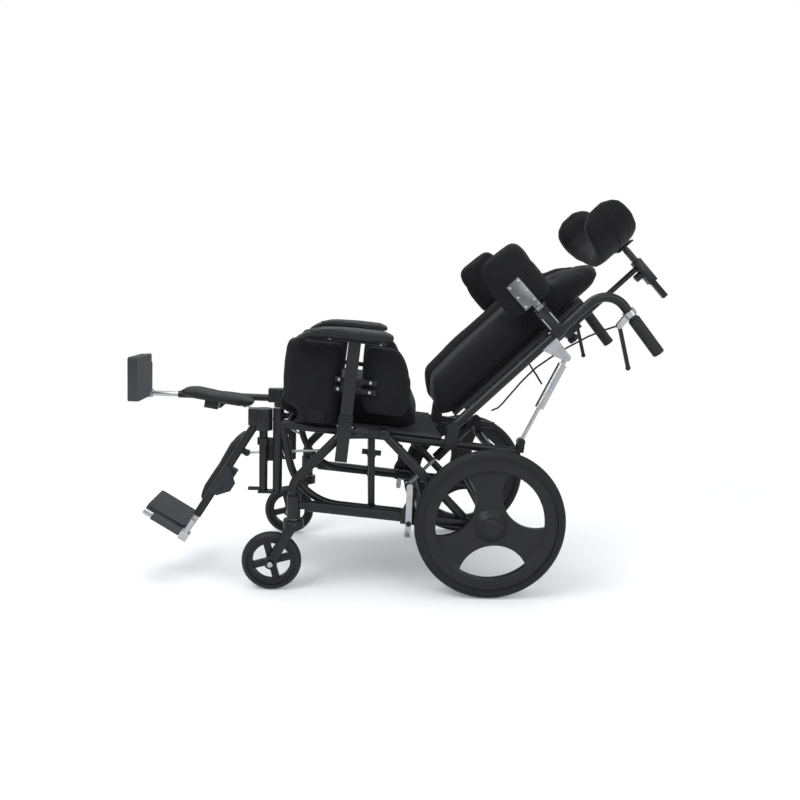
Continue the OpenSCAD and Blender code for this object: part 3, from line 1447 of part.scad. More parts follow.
module lateral_pad() {
  face = back_half + trunk_in + trunk_t + seam;
  color(fabric_c) back_frame()
    translate([back_half + trunk_in, trunk_low, trunk_pad_t0]) rotate([90, 0, 90])
      rotate([0, 0, -trunk_slant])
        pad([trunk_h, trunk_w, trunk_t], trunk_round, 20, 14, trunk_sides_share, trunk_heights_share,
          trunk_cross_share);
  color(zinc_c) back_frame() difference() {
    union() {
      block(face, face + panel_t, trunk_plate_s[0], trunk_plate_s[1], trunk_plate_t[0],
        trunk_plate_t[1]);
      block(face, face + panel_t, trunk_leaf_s[0], trunk_leaf_s[1],
        trunk_hinge.y + trunk_hinge_r / 3, trunk_plate_t[0] + over);
      block(face, trunk_hinge.x, trunk_leaf_s[0], trunk_leaf_s[1],
        trunk_hinge.y + trunk_hinge_r / 3, trunk_hinge.y + trunk_hinge_r);
      trunk_barrel(trunk_leaf_s[0], trunk_leaf_s[1], trunk_hinge_r);
    }
    trunk_barrel(trunk_leaf_s[0] - over, trunk_leaf_s[1] + over, trunk_pin_r + fit);
  }
}

// Gas springs, each drawn between its pins in a side plane
module gas_cylinder(x, top, low, body_r, rod_r, start, end, bore_start) {
  d = heading(top, low);
  difference() {
    union() {
      disc(x - gas_eye_w / 2, x + gas_eye_w / 2, top, gas_eye_r);
      rod(x, top + gas_pin_r * d, top + start * d, body_r / 2);
      rod(x, top + start * d, top + end * d, body_r);
    }
    disc(x - gas_eye_w, x + gas_eye_w, top, gas_pin_r + fit);
    rod(x, top + bore_start * d, top + (end + over) * d, rod_r + fit);
  }
}
module gas_rod(x, top, low, rod_r, start, play) {
  d = heading(top, low);
  difference() {
    union() {
      rod(x, top + start * d, low - (gas_pin_r + play) * d, rod_r);
      disc(x - gas_eye_w / 2, x + gas_eye_w / 2, low, gas_pin_r + play + eye_wall);
    }
    disc(x - gas_eye_w, x + gas_eye_w, low, gas_pin_r + play);
  }
}
gas_eye_r = 8;
eye_wall = 3;
fork_cheek_t = 4;
fork_cheek_w = 18;
tilt_start = 34;
tilt_end = 168;
tilt_bore = 40;
tilt_inner = 136;
module tilt_spring_cylinder() {
  d = heading(tilt_top_pin, tilt_low_pin);
  inner = gas_eye_w / 2 + gas_ear_gap;
  color(frame_c) rail_frame() {
    difference() {
      rod(0, tilt_top_pin + tilt_start * d, tilt_top_pin + tilt_end * d, tilt_gas_r);
      rod(0, tilt_top_pin + tilt_bore * d, tilt_top_pin + (tilt_end + over) * d, tilt_rod_r + fit);
    }
    difference() {
      for (s = [-1, 1])
        on_side(s)
          link(inner, inner + fork_cheek_t, tilt_top_pin + (tilt_start + over) * d, tilt_top_pin,
            fork_cheek_w);
      disc(-2 * inner, 2 * inner, tilt_top_pin, gas_pin_r + fit);
    }
  }
}
module tilt_spring_rod() {
  color(zinc_c) rail_frame()
    gas_rod(0, tilt_top_pin, tilt_low_pin, tilt_rod_r, tilt_inner, eye_play);
}
recline_start = 20;
recline_end = 151;
recline_bore = 22;
recline_inner = 70;
module recline_spring_cylinder() {
  color(zinc_c) rail_frame()
    gas_cylinder(seat_half, strut_top_pin, strut_low_pin, recline_gas_r, recline_rod_r,
      recline_start, recline_end, recline_bore);
}
module recline_spring_rod() {
  color(zinc_c) rail_frame()
    gas_rod(seat_half, strut_top_pin, strut_low_pin, recline_rod_r, recline_inner, strut_play);
}

base_side();  // base_side_left
on_side(-1) base_side();  // base_side_right
base_cross_tubes();
base_hardware();
wheel_lock_plates();
rear_wheel();  // rear_wheel_left
on_side(-1) rear_wheel();  // rear_wheel_right
rear_tyre();  // rear_tyre_left
on_side(-1) rear_tyre();  // rear_tyre_right
castor_fork();  // castor_fork_left
on_side(-1) castor_fork();  // castor_fork_right
castor_wheel();  // castor_wheel_left
on_side(-1) castor_wheel();  // castor_wheel_right
wheel_lock_lever();  // wheel_lock_lever_left
on_side(-1) wheel_lock_lever();  // wheel_lock_lever_right
seat_side(1);  // seat_side_left
on_side(-1) seat_side(-1);  // seat_side_right
seat_cross_frame();
seat_sling();
seat_cushion();
armrest_sockets();
leg_hanger();  // leg_hanger_left
on_side(-1) leg_hanger();  // leg_hanger_right
legrest(1);  // legrest_left
on_side(-1) legrest(-1);  // legrest_right
ratchet_rod(1);  // ratchet_rod_left
on_side(-1) ratchet_rod(-1);  // ratchet_rod_right
calf_pad(1);  // calf_pad_left
on_side(-1) calf_pad(-1);  // calf_pad_right
footrest_tube(1);  // footrest_tube_left
on_side(-1) footrest_tube(-1);  // footrest_tube_right
footplate(1);  // footplate_left
on_side(-1) footplate(-1);  // footplate_right
cane();  // cane_left
on_side(-1) cane();  // cane_right
back_cross_bars();
back_panel();
back_cushion();
hand_grips();
lever_brackets();
hand_lever();  // hand_lever_left
on_side(-1) hand_lever();  // hand_lever_right
release_cables();
headrest_stem();
headrest_bar();
headrest_pad();
lateral_arm();  // lateral_arm_left
on_side(-1) lateral_arm();  // lateral_arm_right
lateral_pad();  // lateral_pad_left
on_side(-1) lateral_pad();  // lateral_pad_right
armrest_frame();  // armrest_frame_left
on_side(-1) armrest_frame();  // armrest_frame_right
armrest_pad();  // armrest_pad_left
on_side(-1) armrest_pad();  // armrest_pad_right
side_pads();  // side_pads_left
on_side(-1) side_pads();  // side_pads_right
tilt_spring_cylinder();
tilt_spring_rod();
recline_spring_cylinder();
recline_spring_rod();
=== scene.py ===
import json
import math

import bmesh
import bpy
from mathutils import Matrix, Vector, noise


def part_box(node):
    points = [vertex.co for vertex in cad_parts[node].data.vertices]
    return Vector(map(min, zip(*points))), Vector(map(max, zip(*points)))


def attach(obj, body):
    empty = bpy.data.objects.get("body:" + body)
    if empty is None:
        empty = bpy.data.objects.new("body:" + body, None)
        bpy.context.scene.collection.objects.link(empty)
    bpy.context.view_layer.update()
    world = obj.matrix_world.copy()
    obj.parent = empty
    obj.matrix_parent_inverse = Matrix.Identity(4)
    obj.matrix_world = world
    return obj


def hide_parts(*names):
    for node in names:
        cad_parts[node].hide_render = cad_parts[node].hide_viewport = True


bl_info = {
    "name": "Tilt in space wheelchair",
    "version": (1, 0, 0),
    "blender": (4, 5, 0),
    "location": "3D View > Sidebar > Wheelchair",
    "description": "Dresses the wheelchair's frame with cushions, covers and finishes",
    "category": "Object",
}

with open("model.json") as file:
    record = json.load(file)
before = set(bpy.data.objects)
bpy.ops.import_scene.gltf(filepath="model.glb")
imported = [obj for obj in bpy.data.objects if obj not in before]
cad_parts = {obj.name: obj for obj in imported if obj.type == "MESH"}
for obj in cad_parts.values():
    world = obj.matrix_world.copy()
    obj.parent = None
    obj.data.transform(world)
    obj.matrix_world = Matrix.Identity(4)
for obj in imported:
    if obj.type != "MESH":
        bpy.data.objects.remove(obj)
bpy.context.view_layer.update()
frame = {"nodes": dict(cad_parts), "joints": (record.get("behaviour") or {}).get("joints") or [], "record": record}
SIDES = ("left", "right")

# The seat rails slope back, the backrest leans from them, and the grips point down behind it
RAIL_SLOPE = math.radians(-5.5)
BACK_LEAN = RAIL_SLOPE + math.radians(49.7)
GRIP_TURN = math.radians(-50)
RAIL_BACK = Vector((0, math.cos(RAIL_SLOPE), math.sin(RAIL_SLOPE)))
RAIL_UP = Vector((0, -math.sin(RAIL_SLOPE), math.cos(RAIL_SLOPE)))
BACK_UP = Vector((0, math.cos(BACK_LEAN), math.sin(BACK_LEAN)))
BACK_FRONT = Vector((0, -math.sin(BACK_LEAN), math.cos(BACK_LEAN)))
ACROSS = Vector((1, 0, 0))
JOINTS = {joint["name"]: joint for joint in frame["joints"]}
PIVOT = Vector(JOINTS["seat_tilt"]["pos_m"])
BACK_HINGE = Vector(JOINTS["backrest_recline"]["pos_m"])

# Padded pieces: frames of cloth that swell them, shortest sewn loop that is piped, how far
# piping stands out of the cover in its own radii, and the volume share of hard solids
CLOTH_FRAMES = 20
SHORTEST_LOOP = 31
PIPING_OUT = 0.3
HARD_SHARE = 0.15

# Vinyl pads, beside the knitted ones: finer cells, less swell and a firmer fill
VINYL_VOXEL = 0.8
VINYL_SWELL = 0.6

# Sewn lines, as places along the rails and beside the middle, and how wide they sink
SEAT_CHANNELS = (-0.153, -0.045)
SEAT_SEAM_WIDTH = 0.004
BOLSTER_SEAM = 0.098
BOLSTER_SEAM_WIDTH = 0.005
PIPED_SEAM_WIDTH = 0.003

# Cells of the knitted covers
KNIT_PITCH = 0.0021

# Rivets of the trunk pads and bright edges of their brackets, as heights and depths on the back
TRUNK_PLATE_FACE = 0.2336
RIVET_HEIGHTS = (0.349, 0.378)
RIVET_DEPTHS = (0.112, 0.143, 0.175)
BRACKET_FACE = 0.224
BRACKET_EDGES = (0.361, 0.387)
BRACKET_DEPTH = 0.04

# Bolts and knob of the armrests, by the rails, and the headrest's knob, by the back
PAD_BOLT_FACE = 0.2451
PAD_BOLTS_BACK = (-0.133, -0.052)
PAD_BOLTS_UP = (0.104, 0.129)
ARM_BOLT_FACE = 0.2638
ARM_BOLTS_BACK = (-0.168, -0.038)
ARM_BOLTS_UP = 0.231
ARM_KNOB = (0.261, -0.062, 0.001)
HEADREST_KNOB = (0, 0.426, -0.081)

# How deep a cap's or a nut's foot sits in what carries it
SEATED = 0.0005

# Grid of the stretched sheets, and the hems beside the tubes that don't dip
SHEET_STEP = 0.02
SHEET_HEM = 0.03

# Lamps by name, place, size and power, what they point at, and the floor's reach
LAMPS = (
    ("key", (1.6, -1.6, 2.6), 1.6, 55),
    ("fill", (2.2, 1.6, 1.8), 1.8, 28),
    ("top", (-0.4, 0.1, 3.0), 2.4, 60),
)
LAMP_TARGET = Vector((0, 0, 0.45))
FLOOR_RADIUS = 14


def on_rail(x, back, up):
    return PIVOT + Vector((x, 0, 0)) + back * RAIL_BACK + up * RAIL_UP


def on_back(x, up, front):
    return BACK_HINGE + Vector((x, 0, 0)) + up * BACK_UP + front * BACK_FRONT


# Shader maths


class Signal:
    """A socket of a finish, used in expressions."""

    def __init__(self, finish, socket):
        self.finish = finish
        self.socket = socket

    def maths(self, operation, first, second=0.0):
        return self.finish.node("Math", {"operation": operation}, 0, {0: first, 1: second})

    def __add__(self, other):
        return self.maths("ADD", self, other)

    def __sub__(self, other):
        return self.maths("SUBTRACT", self, other)

    def __rsub__(self, other):
        return self.maths("SUBTRACT", other, self)

    def __mul__(self, other):
        return self.maths("MULTIPLY", self, other)

    __radd__ = __add__
    __rmul__ = __mul__


class Finish:
    """A material under construction."""

    def __init__(self, name, **constants):
        self.material = bpy.data.materials.new(name)
        self.material.use_nodes = True
        self.tree = self.material.node_tree
        self.tree.nodes.clear()
        self.output = self.tree.nodes.new("ShaderNodeOutputMaterial")
        self.surface = self.tree.nodes.new("ShaderNodeBsdfPrincipled")
        self.tree.links.new(self.surface.outputs[0], self.output.inputs[0])
        for key, value in constants.items():
            self.surface.inputs[key.replace("_", " ")].default_value = value
        self.place = self.node("TexCoord", {}, "Object", {})

    def node(self, kind, settings, output, sockets):
        made = self.tree.nodes.new("ShaderNode" + kind)
        for key, value in settings.items():
            if key == "stops":
                ramp = made.color_ramp
                while len(ramp.elements) < len(value):
                    ramp.elements.new(0.5)
                for element, (position, shade) in zip(ramp.elements, value):
                    element.position = position
                    element.color = (shade, shade, shade, 1)
            else:
                setattr(made, key, value)
        for key, value in sockets.items():
            if isinstance(value, Signal):
                self.tree.links.new(value.socket, made.inputs[key])
            else:
                made.inputs[key].default_value = value
        return Signal(self, made.outputs[output])

    def noise(self, scale, detail, vector=None, roughness=0.5):
        sockets = {"Scale": scale, "Detail": detail, "Roughness": roughness}
        return self.node("TexNoise", {}, 0, {"Vector": vector or self.place, **sockets})

    def cells(self, scale, feature, jitter=1.0):
        sockets = {"Vector": self.place, "Scale": scale, "Randomness": jitter}
        return self.node("TexVoronoi", {"feature": feature}, 0, sockets)

    def bands(self, scale, direction, vector=None):
        sockets = {"Vector": vector or self.place, "Scale": scale, "Distortion": 0}
        return self.node("TexWave", {"bands_direction": direction}, 1, sockets)

    def ramp(self, value, stops):
        return self.node("ValToRGB", {"stops": stops}, 0, {0: value})

    def turned(self, angles, scale=(1, 1, 1)):
        sockets = {"Vector": self.place, "Rotation": angles, "Scale": scale}
        return self.node("Mapping", {}, 0, sockets)

    def mix(self, factor, first, second):
        colours = [c if isinstance(c, Signal) else (*c, 1) for c in (first, second)]
        sockets = {0: factor, 6: colours[0], 7: colours[1]}
        return self.node("Mix", {"data_type": "RGBA"}, 2, sockets)

    def bump(self, height, strength, distance, before=None):
        sockets = {"Height": height, "Strength": strength, "Distance": distance}
        if before:
            sockets["Normal"] = before
        return self.node("Bump", {}, 0, sockets)

    def feed(self, **signals):
        for key, signal in signals.items():
            self.tree.links.new(signal.socket, self.surface.inputs[key.replace("_", " ")])
        return self.material


def shade(colour, share):
    return tuple(min(1, c * share) for c in colour)


def hammered_paint(colour):
    """Black paint with a fine hammered grain and paler rubbed spots."""
    f = Finish(
        "hammered_paint",
        Metallic=0.35,
        Coat_Weight=0.12,
        Coat_Roughness=0.25,
        Specular_IOR_Level=0.3,
    )
    flakes = f.noise(1400, 1)
    clouds = f.noise(14, 3)
    grain = f.cells(420, "SMOOTH_F1")
    rubbed = f.ramp(f.noise(38, 5, roughness=0.65), [(0.62, 0), (0.74, 1)])
    base = f.mix(clouds, shade(colour, 0.7), shade(colour, 1.35))
    flecked = f.mix(f.ramp(flakes, [(0.55, 0), (0.75, 1)]) * 0.35, base, shade(colour, 3.2))
    return f.feed(
        Base_Color=f.mix(rubbed * 0.3, flecked, shade(colour, 2.6)),
        Roughness=0.34 + clouds * 0.16 + rubbed * 0.1,
        Normal=f.bump(grain, 0.12, 0.0004, f.bump(flakes, 0.08, 0.0001)),
    )


def zinc_plate(colour, name="zinc_plate"):
    """Plated steel, softly brushed, with dull patches."""
    f = Finish(name, Metallic=1.0)
    brushed = f.noise(240, 3, f.turned((0, 0, 0), (0.12, 1, 1)))
    patches = f.noise(60, 4)
    return f.feed(
        Base_Color=f.mix(patches, shade(colour, 0.72), shade(colour, 1.12)),
        Roughness=0.22 + brushed * 0.16 + patches * 0.12,
        Normal=f.bump(brushed, 0.08, 0.0002),
    )


def knit_cover(colour):
    """Black spacer knit: rows of small open cells, painted darker than the yarn as painted shade, with a soft nap.
    """
    f = Finish("knit_cover", Sheen_Weight=0.06, Sheen_Roughness=0.5, Specular_IOR_Level=0.15)
    mesh = f.cells(1 / KNIT_PITCH, "F1", jitter=0.18)
    cell_mask_and_painted_shade = f.ramp(mesh, [(0.2, 0), (0.55, 1)])
    nap = f.noise(900, 2)
    worn = f.noise(9, 4)
    dust = f.ramp(f.noise(26, 5, roughness=0.7), [(0.5, 0), (0.9, 1)])
    ground = f.mix(worn, shade(colour, 0.7), shade(colour, 1.3))
    # The yarn is lightened towards 2.1 times the colour and the open cells stay darker as painted shade; the same
    # mask also shapes the bump.
    yarn_with_painted_shade = f.mix(cell_mask_and_painted_shade * 0.55, ground, shade(colour, 2.1))
    return f.feed(
        Base_Color=f.mix(dust * 0.25, yarn_with_painted_shade, shade(colour, 2.6)),
        Roughness=0.8 + nap * 0.15,
        Normal=f.bump(cell_mask_and_painted_shade, 0.35, 0.0006, f.bump(nap, 0.2, 0.0002)),
    )


def grained_vinyl(colour):
    """Vinyl upholstery with a pebbled grain, painted shade in the valleys between the pebbles, and a soft shine.
    """
    f = Finish("grained_vinyl", Specular_IOR_Level=0.3)
    pebbles = f.cells(520, "DISTANCE_TO_EDGE")
    creases = f.noise(55, 6, roughness=0.7)
    worn = f.noise(12, 3)
    # The valleys between the pebbles get a colour darkened to 0.6 as painted shade; the same mask also shapes the
    # roughness and the bump.
    valleys_and_painted_shade = f.ramp(pebbles, [(0.0, 0), (0.12, 1)])
    ground = f.mix(worn, shade(colour, 0.75), shade(colour, 1.4))
    return f.feed(
        Base_Color=f.mix(valleys_and_painted_shade * 0.8, shade(colour, 0.6), ground),
        Roughness=0.52 - valleys_and_painted_shade * 0.1 + worn * 0.12,
        Normal=f.bump(valleys_and_painted_shade, 0.3, 0.0004, f.bump(creases, 0.25, 0.001)),
    )


def solid_rubber(colour):
    """Matte rubber with bloom and fine specks."""
    f = Finish("solid_rubber", Specular_IOR_Level=0.22)
    specks = f.noise(700, 3)
    bloom = f.noise(22, 5, roughness=0.65)
    return f.feed(
        Base_Color=f.mix(bloom, shade(colour, 0.75), shade(colour, 1.7)),
        Roughness=0.55 + bloom * 0.25,
        Normal=f.bump(specks, 0.15, 0.0003),
    )


def ribbed_rubber(colour):
    """Rubber of the push grips, ribbed around the grip."""
    f = Finish("ribbed_rubber", Specular_IOR_Level=0.35)
    ribs = f.bands(62, "Z", f.turned((GRIP_TURN, 0, 0)))
    bloom = f.noise(30, 4)
    return f.feed(
        Base_Color=f.mix(bloom, shade(colour, 0.8), shade(colour, 1.8)),
        Roughness=0.6 + ribs * 0.15,
        Normal=f.bump(ribs, 0.6, 0.0012, f.bump(f.noise(700, 2), 0.15, 0.0002)),
    )


def moulded_plastic(colour, name="moulded_plastic"):
    """Moulded plastic with a spark-eroded texture."""
    f = Finish(name, Specular_IOR_Level=0.28)
    sparks = f.noise(1100, 2)
    flow = f.noise(8, 4)
    scuffs = f.ramp(f.noise(70, 6, roughness=0.75), [(0.6, 0), (0.7, 1)])
    ground = f.mix(flow, shade(colour, 0.82), shade(colour, 1.25))
    return f.feed(
        Base_Color=f.mix(scuffs * 0.25, ground, shade(colour, 1.9)),
        Roughness=0.42 + flow * 0.14 + scuffs * 0.15,
        Normal=f.bump(sparks, 0.14, 0.0002),
    )


def tyre_tread(colour):
    """Solid tyre: fine rings around the tread and scuffed ground contact."""
    f = Finish("tyre_tread", Specular_IOR_Level=0.2)
    rings = f.bands(72, "X")
    bloom = f.noise(18, 5, roughness=0.7)
    dust = f.ramp(f.noise(44, 6, roughness=0.7), [(0.5, 0), (0.8, 1)])
    ground = f.mix(bloom, shade(colour, 0.8), shade(colour, 1.6))
    return f.feed(
        Base_Color=f.mix(dust * 0.35, ground, shade(colour, 2.8)),
        Roughness=0.55 + bloom * 0.2,
        Normal=f.bump(rings, 0.22, 0.0008, f.bump(f.noise(600, 3), 0.2, 0.0003)),
    )


def webbing(colour):
    """Woven strap: a diagonal twill with a little fuzz."""
    f = Finish("webbing", Specular_IOR_Level=0.2)
    twill = f.bands(420, "DIAGONAL")
    fuzz = f.noise(800, 2)
    return f.feed(
        Base_Color=f.mix(twill, shade(colour, 0.6), shade(colour, 2.2)),
        Roughness=0.75 + fuzz * 0.15,
        Normal=f.bump(twill, 0.4, 0.0003, f.bump(fuzz, 0.2, 0.0002)),
    )


# Meshes


def loose_parts(mesh):
    """The separate solids of a CAD node as their own bmeshes, largest first."""
    whole = bmesh.new()
    whole.from_mesh(mesh)
    bmesh.ops.remove_doubles(whole, verts=whole.verts, dist=0.00001)
    whole.verts.ensure_lookup_table()
    seen = set()
    parts = []
    for start in whole.verts:
        if start in seen:
            continue
        group, queue = {start}, [start]
        while queue:
            for edge in queue.pop().link_edges:
                for vert in edge.verts:
                    if vert not in group:
                        group.add(vert)
                        queue.append(vert)
        seen |= group
        parts.append({v.index for v in group})
    made = []
    for part in parts:
        copy = whole.copy()
        copy.verts.ensure_lookup_table()
        bmesh.ops.delete(
            copy, geom=[v for v in copy.verts if v.index not in part], context="VERTS"
        )
        made.append(copy)
    whole.free()
    return sorted(made, key=lambda part: -part.calc_volume(signed=False))


def new_piece(name, bm, material, smooth=40):
    """A new object from a bmesh, with edges sharper than an angle in degrees left sharp."""
    mesh = bpy.data.meshes.new(name)
    bm.to_mesh(mesh)
    bm.free()
    piece = bpy.data.objects.new(name, mesh)
    bpy.context.collection.objects.link(piece)
    mesh.materials.append(material)
    mesh.shade_smooth()
    if smooth < 180:
        mesh.set_sharp_from_angle(angle=math.radians(smooth))
    return piece


def apply_modifiers(piece):
    """Turns what the modifiers make into the piece's own mesh."""
    graph = bpy.context.evaluated_depsgraph_get()
    graph.update()
    done = bpy.data.meshes.new_from_object(piece.evaluated_get(graph))
    done.name = piece.name
    piece.modifiers.clear()
    piece.data = done


def fasten(piece, body, slot, *nodes):
    """Lets a piece ride on a body and hides the nodes that it replaces. The slot argument is not used."""
    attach(piece, body)
    if nodes:
        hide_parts(*nodes)
    return piece


def push(piece, depth):
    """Moves each point along its normal by depth(place, normal)."""
    before = [(vert.co.copy(), vert.normal.copy()) for vert in piece.data.vertices]
    for vert, (place, normal) in zip(piece.data.vertices, before):
        vert.co = place + normal * depth(place, normal)


def swell(piece, voxel, shrink, cap):
    """Pads the piece out as a filled cover: remesh, cloth with pressure, and one subdivision."""
    remesh = piece.modifiers.new("remesh", "REMESH")
    remesh.mode = "VOXEL"
    remesh.voxel_size = voxel
    apply_modifiers(piece)
    push(piece, lambda place, normal: -shrink)
    rest = [vert.co.copy() for vert in piece.data.vertices]
    cloth = piece.modifiers.new("cover", "CLOTH")
    cloth.settings.quality = 4
    cloth.settings.mass = 0.4
    cloth.settings.tension_stiffness = 15
    cloth.settings.compression_stiffness = 15
    cloth.settings.bending_stiffness = 0.6
    cloth.settings.use_pressure = True
    cloth.settings.uniform_pressure_force = 4
    cloth.settings.effector_weights.gravity = 0
    cloth.collision_settings.use_collision = False
    cloth.point_cache.frame_start = 1
    cloth.point_cache.frame_end = CLOTH_FRAMES
    for step in range(1, CLOTH_FRAMES + 1):
        bpy.context.scene.frame_set(step)
    apply_modifiers(piece)
    bpy.context.scene.frame_set(1)
    for vert, start in zip(piece.data.vertices, rest):
        moved = vert.co - start
        if moved.length > cap:
            vert.co = start + moved * (cap / moved.length)
    smooth = piece.modifiers.new("relax", "SMOOTH")
    smooth.factor = 0.5
    smooth.iterations = 2
    finer = piece.modifiers.new("finer", "SUBSURF")
    finer.levels = finer.render_levels = 1
    apply_modifiers(piece)
    piece.data.shade_smooth()


def sew(piece, place, normal, depth, width, facing=None):
    """Sinks a sewn line into the piece where a plane crosses it."""
    normal = normal.normalized()

    def sunk(point, outward):
        away = (point - place).dot(normal)
        if abs(away) > 4 * width or (facing and outward.dot(facing) < 0.2):
            return 0
        return -depth * math.exp(-((away / width) ** 2))

    push(piece, sunk)


def ripple(piece, size, height, seed):
    """Slack in a cover: shallow folds that stay below the surface."""

    def slack(point, outward):
        lift = noise.noise((point + Vector((seed, 0, 0))) / size)
        finer = noise.noise((point + Vector((0, seed, 0))) / (size * 0.35))
        return -height * (0.5 + 0.35 * lift + 0.15 * finer)

    push(piece, slack)


def section(piece, place, normal):
    """The loops where a plane crosses the piece, as lists of points."""
    cut = bmesh.new()
    cut.from_mesh(piece.data)
    found = bmesh.ops.bisect_plane(
        cut, geom=cut.verts[:] + cut.edges[:] + cut.faces[:], plane_co=place, plane_no=normal
    )["geom_cut"]
    edges = [e for e in found if isinstance(e, bmesh.types.BMEdge)]
    beside = {}
    for edge in edges:
        a, b = edge.verts
        beside.setdefault(a, []).append(b)
        beside.setdefault(b, []).append(a)
    loops = []
    while beside:
        first = next(iter(beside))
        loop, here, before = [], first, None
        while here in beside:
            onward = [v for v in beside.pop(here) if v is not before]
            loop.append(here.co.copy())
            before, here = here, onward[0] if onward else None
        loops.append(loop)
    cut.free()
    return [loop for loop in loops if len(loop) >= SHORTEST_LOOP]


def piping(name, piece, place, normal, radius, material):
    """A sewn cord edge that follows the piece where a plane crosses it."""
    data = bpy.data.curves.new(name, "CURVE")
    data.dimensions = "3D"
    data.bevel_depth = radius
    data.bevel_resolution = 2
    for loop in section(piece, place, normal):
        middle = sum(loop, Vector()) / len(loop)
        for _ in range(3):
            loop = [
                (loop[i - 1] + 2 * p + loop[(i + 1) % len(loop)]) / 4 for i, p in enumerate(loop)
            ]
        loop = loop[::2]
        spline = data.splines.new("POLY")
        spline.points.add(len(loop) - 1)
        spline.use_cyclic_u = True
        for point, p in zip(spline.points, loop):
            point.co = (*(p + (p - middle).normalized() * radius * PIPING_OUT), 1)
    curve = bpy.data.objects.new(name + "_route", data)
    bpy.context.collection.objects.link(curve)
    graph = bpy.context.evaluated_depsgraph_get()
    graph.update()
    bm = bmesh.new()
    bm.from_mesh(bpy.data.meshes.new_from_object(curve.evaluated_get(graph)))
    bpy.data.objects.remove(curve)
    return new_piece(name, bm, material, 180)


def turned_disc(name, profile, place, axis, material, segments):
    """A turned piece: a profile of (radius, distance along the axis) spun round it."""
    bm = bmesh.new()
    points = [bm.verts.new((r, 0, z)) for r, z in profile]
    edges = [bm.edges.new(pair) for pair in zip(points, points[1:])]
    bmesh.ops.spin(
        bm,
        geom=points + edges,
        cent=(0, 0, 0),
        axis=(0, 0, 1),
        angle=2 * math.pi,
        steps=segments,
        use_merge=True,
    )
    bmesh.ops.remove_doubles(bm, verts=bm.verts, dist=0.000001)
    bmesh.ops.recalc_face_normals(bm, faces=bm.faces)
    return new_piece(name, placed(bm, place, axis), material, 35)


def joined(name, pieces):
    """One object from several new pieces of one finish."""
    bm = bmesh.new()
    for piece in pieces:
        bm.from_mesh(piece.data)
    material = pieces[0].data.materials[0]
    for piece in pieces:
        mesh = piece.data
        bpy.data.objects.remove(piece)
        bpy.data.meshes.remove(mesh)
    return new_piece(name, bm, material, 35)


def placed(bm, place, axis):
    """Turns a bmesh from the Z axis to another axis and moves it to its place."""
    turn = Vector((0, 0, 1)).rotation_difference(Vector(axis)).to_matrix().to_4x4()
    bmesh.ops.transform(bm, matrix=Matrix.Translation(place) @ turn, verts=bm.verts)
    return bm


def dome(name, place, axis, radius, height, material, segments=24):
    """A low dome on a flat foot, as on rivets, caps and nuts."""
    profile = [(0, 0), (radius, 0), (radius, 0.3 * height)]
    profile += [
        (radius * math.cos(turn), height * (0.3 + 0.7 * math.sin(turn)))
        for turn in (0.4, 0.8, 1.2)
    ]
    return turned_disc(name, profile + [(0, height)], place, axis, material, segments)


def lobed_knob(name, place, axis, radius, depth, lobes, material):
    """A clamp knob with finger lobes and rounded rims."""
    bm = bmesh.new()
    bmesh.ops.create_circle(bm, cap_ends=True, segments=lobes * 10, radius=radius)
    for vert in bm.verts:
        turn = math.atan2(vert.co.y, vert.co.x)
        vert.co *= 1 - 0.1 * (1 - math.cos(lobes * turn))
    top = bmesh.ops.extrude_face_region(bm, geom=bm.faces[:])["geom"]
    bmesh.ops.translate(
        bm, verts=[v for v in top if isinstance(v, bmesh.types.BMVert)], vec=(0, 0, depth)
    )
    bmesh.ops.recalc_face_normals(bm, faces=bm.faces)
    rims = [e for e in bm.edges if abs(e.verts[0].co.z - e.verts[1].co.z) < 1e-6]
    bevel_edges(bm, rims, depth * 0.16, 3)
    return new_piece(name, placed(bm, place, axis), material, 50)


def bevel_edges(bm, edges, width, segments):
    bmesh.ops.bevel(
        bm,
        geom=edges,
        offset=width,
        offset_type="OFFSET",
        segments=segments,
        profile=0.5,
        affect="EDGES",
        clamp_overlap=True,
        material=-1,
    )


def soft_parts(node):
    """The stuffed solids of a CAD node, which are its large ones, and its hard ones."""
    parts = loose_parts(frame["nodes"][node].data)
    limit = HARD_SHARE * parts[0].calc_volume(signed=False)
    soft = [p for p in parts if p.calc_volume(signed=False) > limit]
    hard = [p for p in parts if p.calc_volume(signed=False) <= limit]
    return soft, hard


# Sizes and colours


class WheelchairCovers(bpy.types.PropertyGroup):
    voxel: bpy.props.FloatProperty(
        name="Remesh size",
        description="Cell size of the padded pieces before they swell",
        default=0.005,
        min=0.003,
        unit="LENGTH",
    )
    seat_cap: bpy.props.FloatProperty(
        name="Seat swell", description="Most that the seat swells", default=0.006, unit="LENGTH"
    )
    back_cap: bpy.props.FloatProperty(
        name="Back swell", description="Most that the back swells", default=0.007, unit="LENGTH"
    )
    pad_cap: bpy.props.FloatProperty(
        name="Pad swell", description="Most that the small pads swell", default=0.004, unit="LENGTH"
    )
    seam_depth: bpy.props.FloatProperty(
        name="Seam depth", description="Depth of sewn lines", default=0.004, unit="LENGTH"
    )
    piping_radius: bpy.props.FloatProperty(
        name="Piping", description="Radius of the sewn cord edges", default=0.0022, unit="LENGTH"
    )


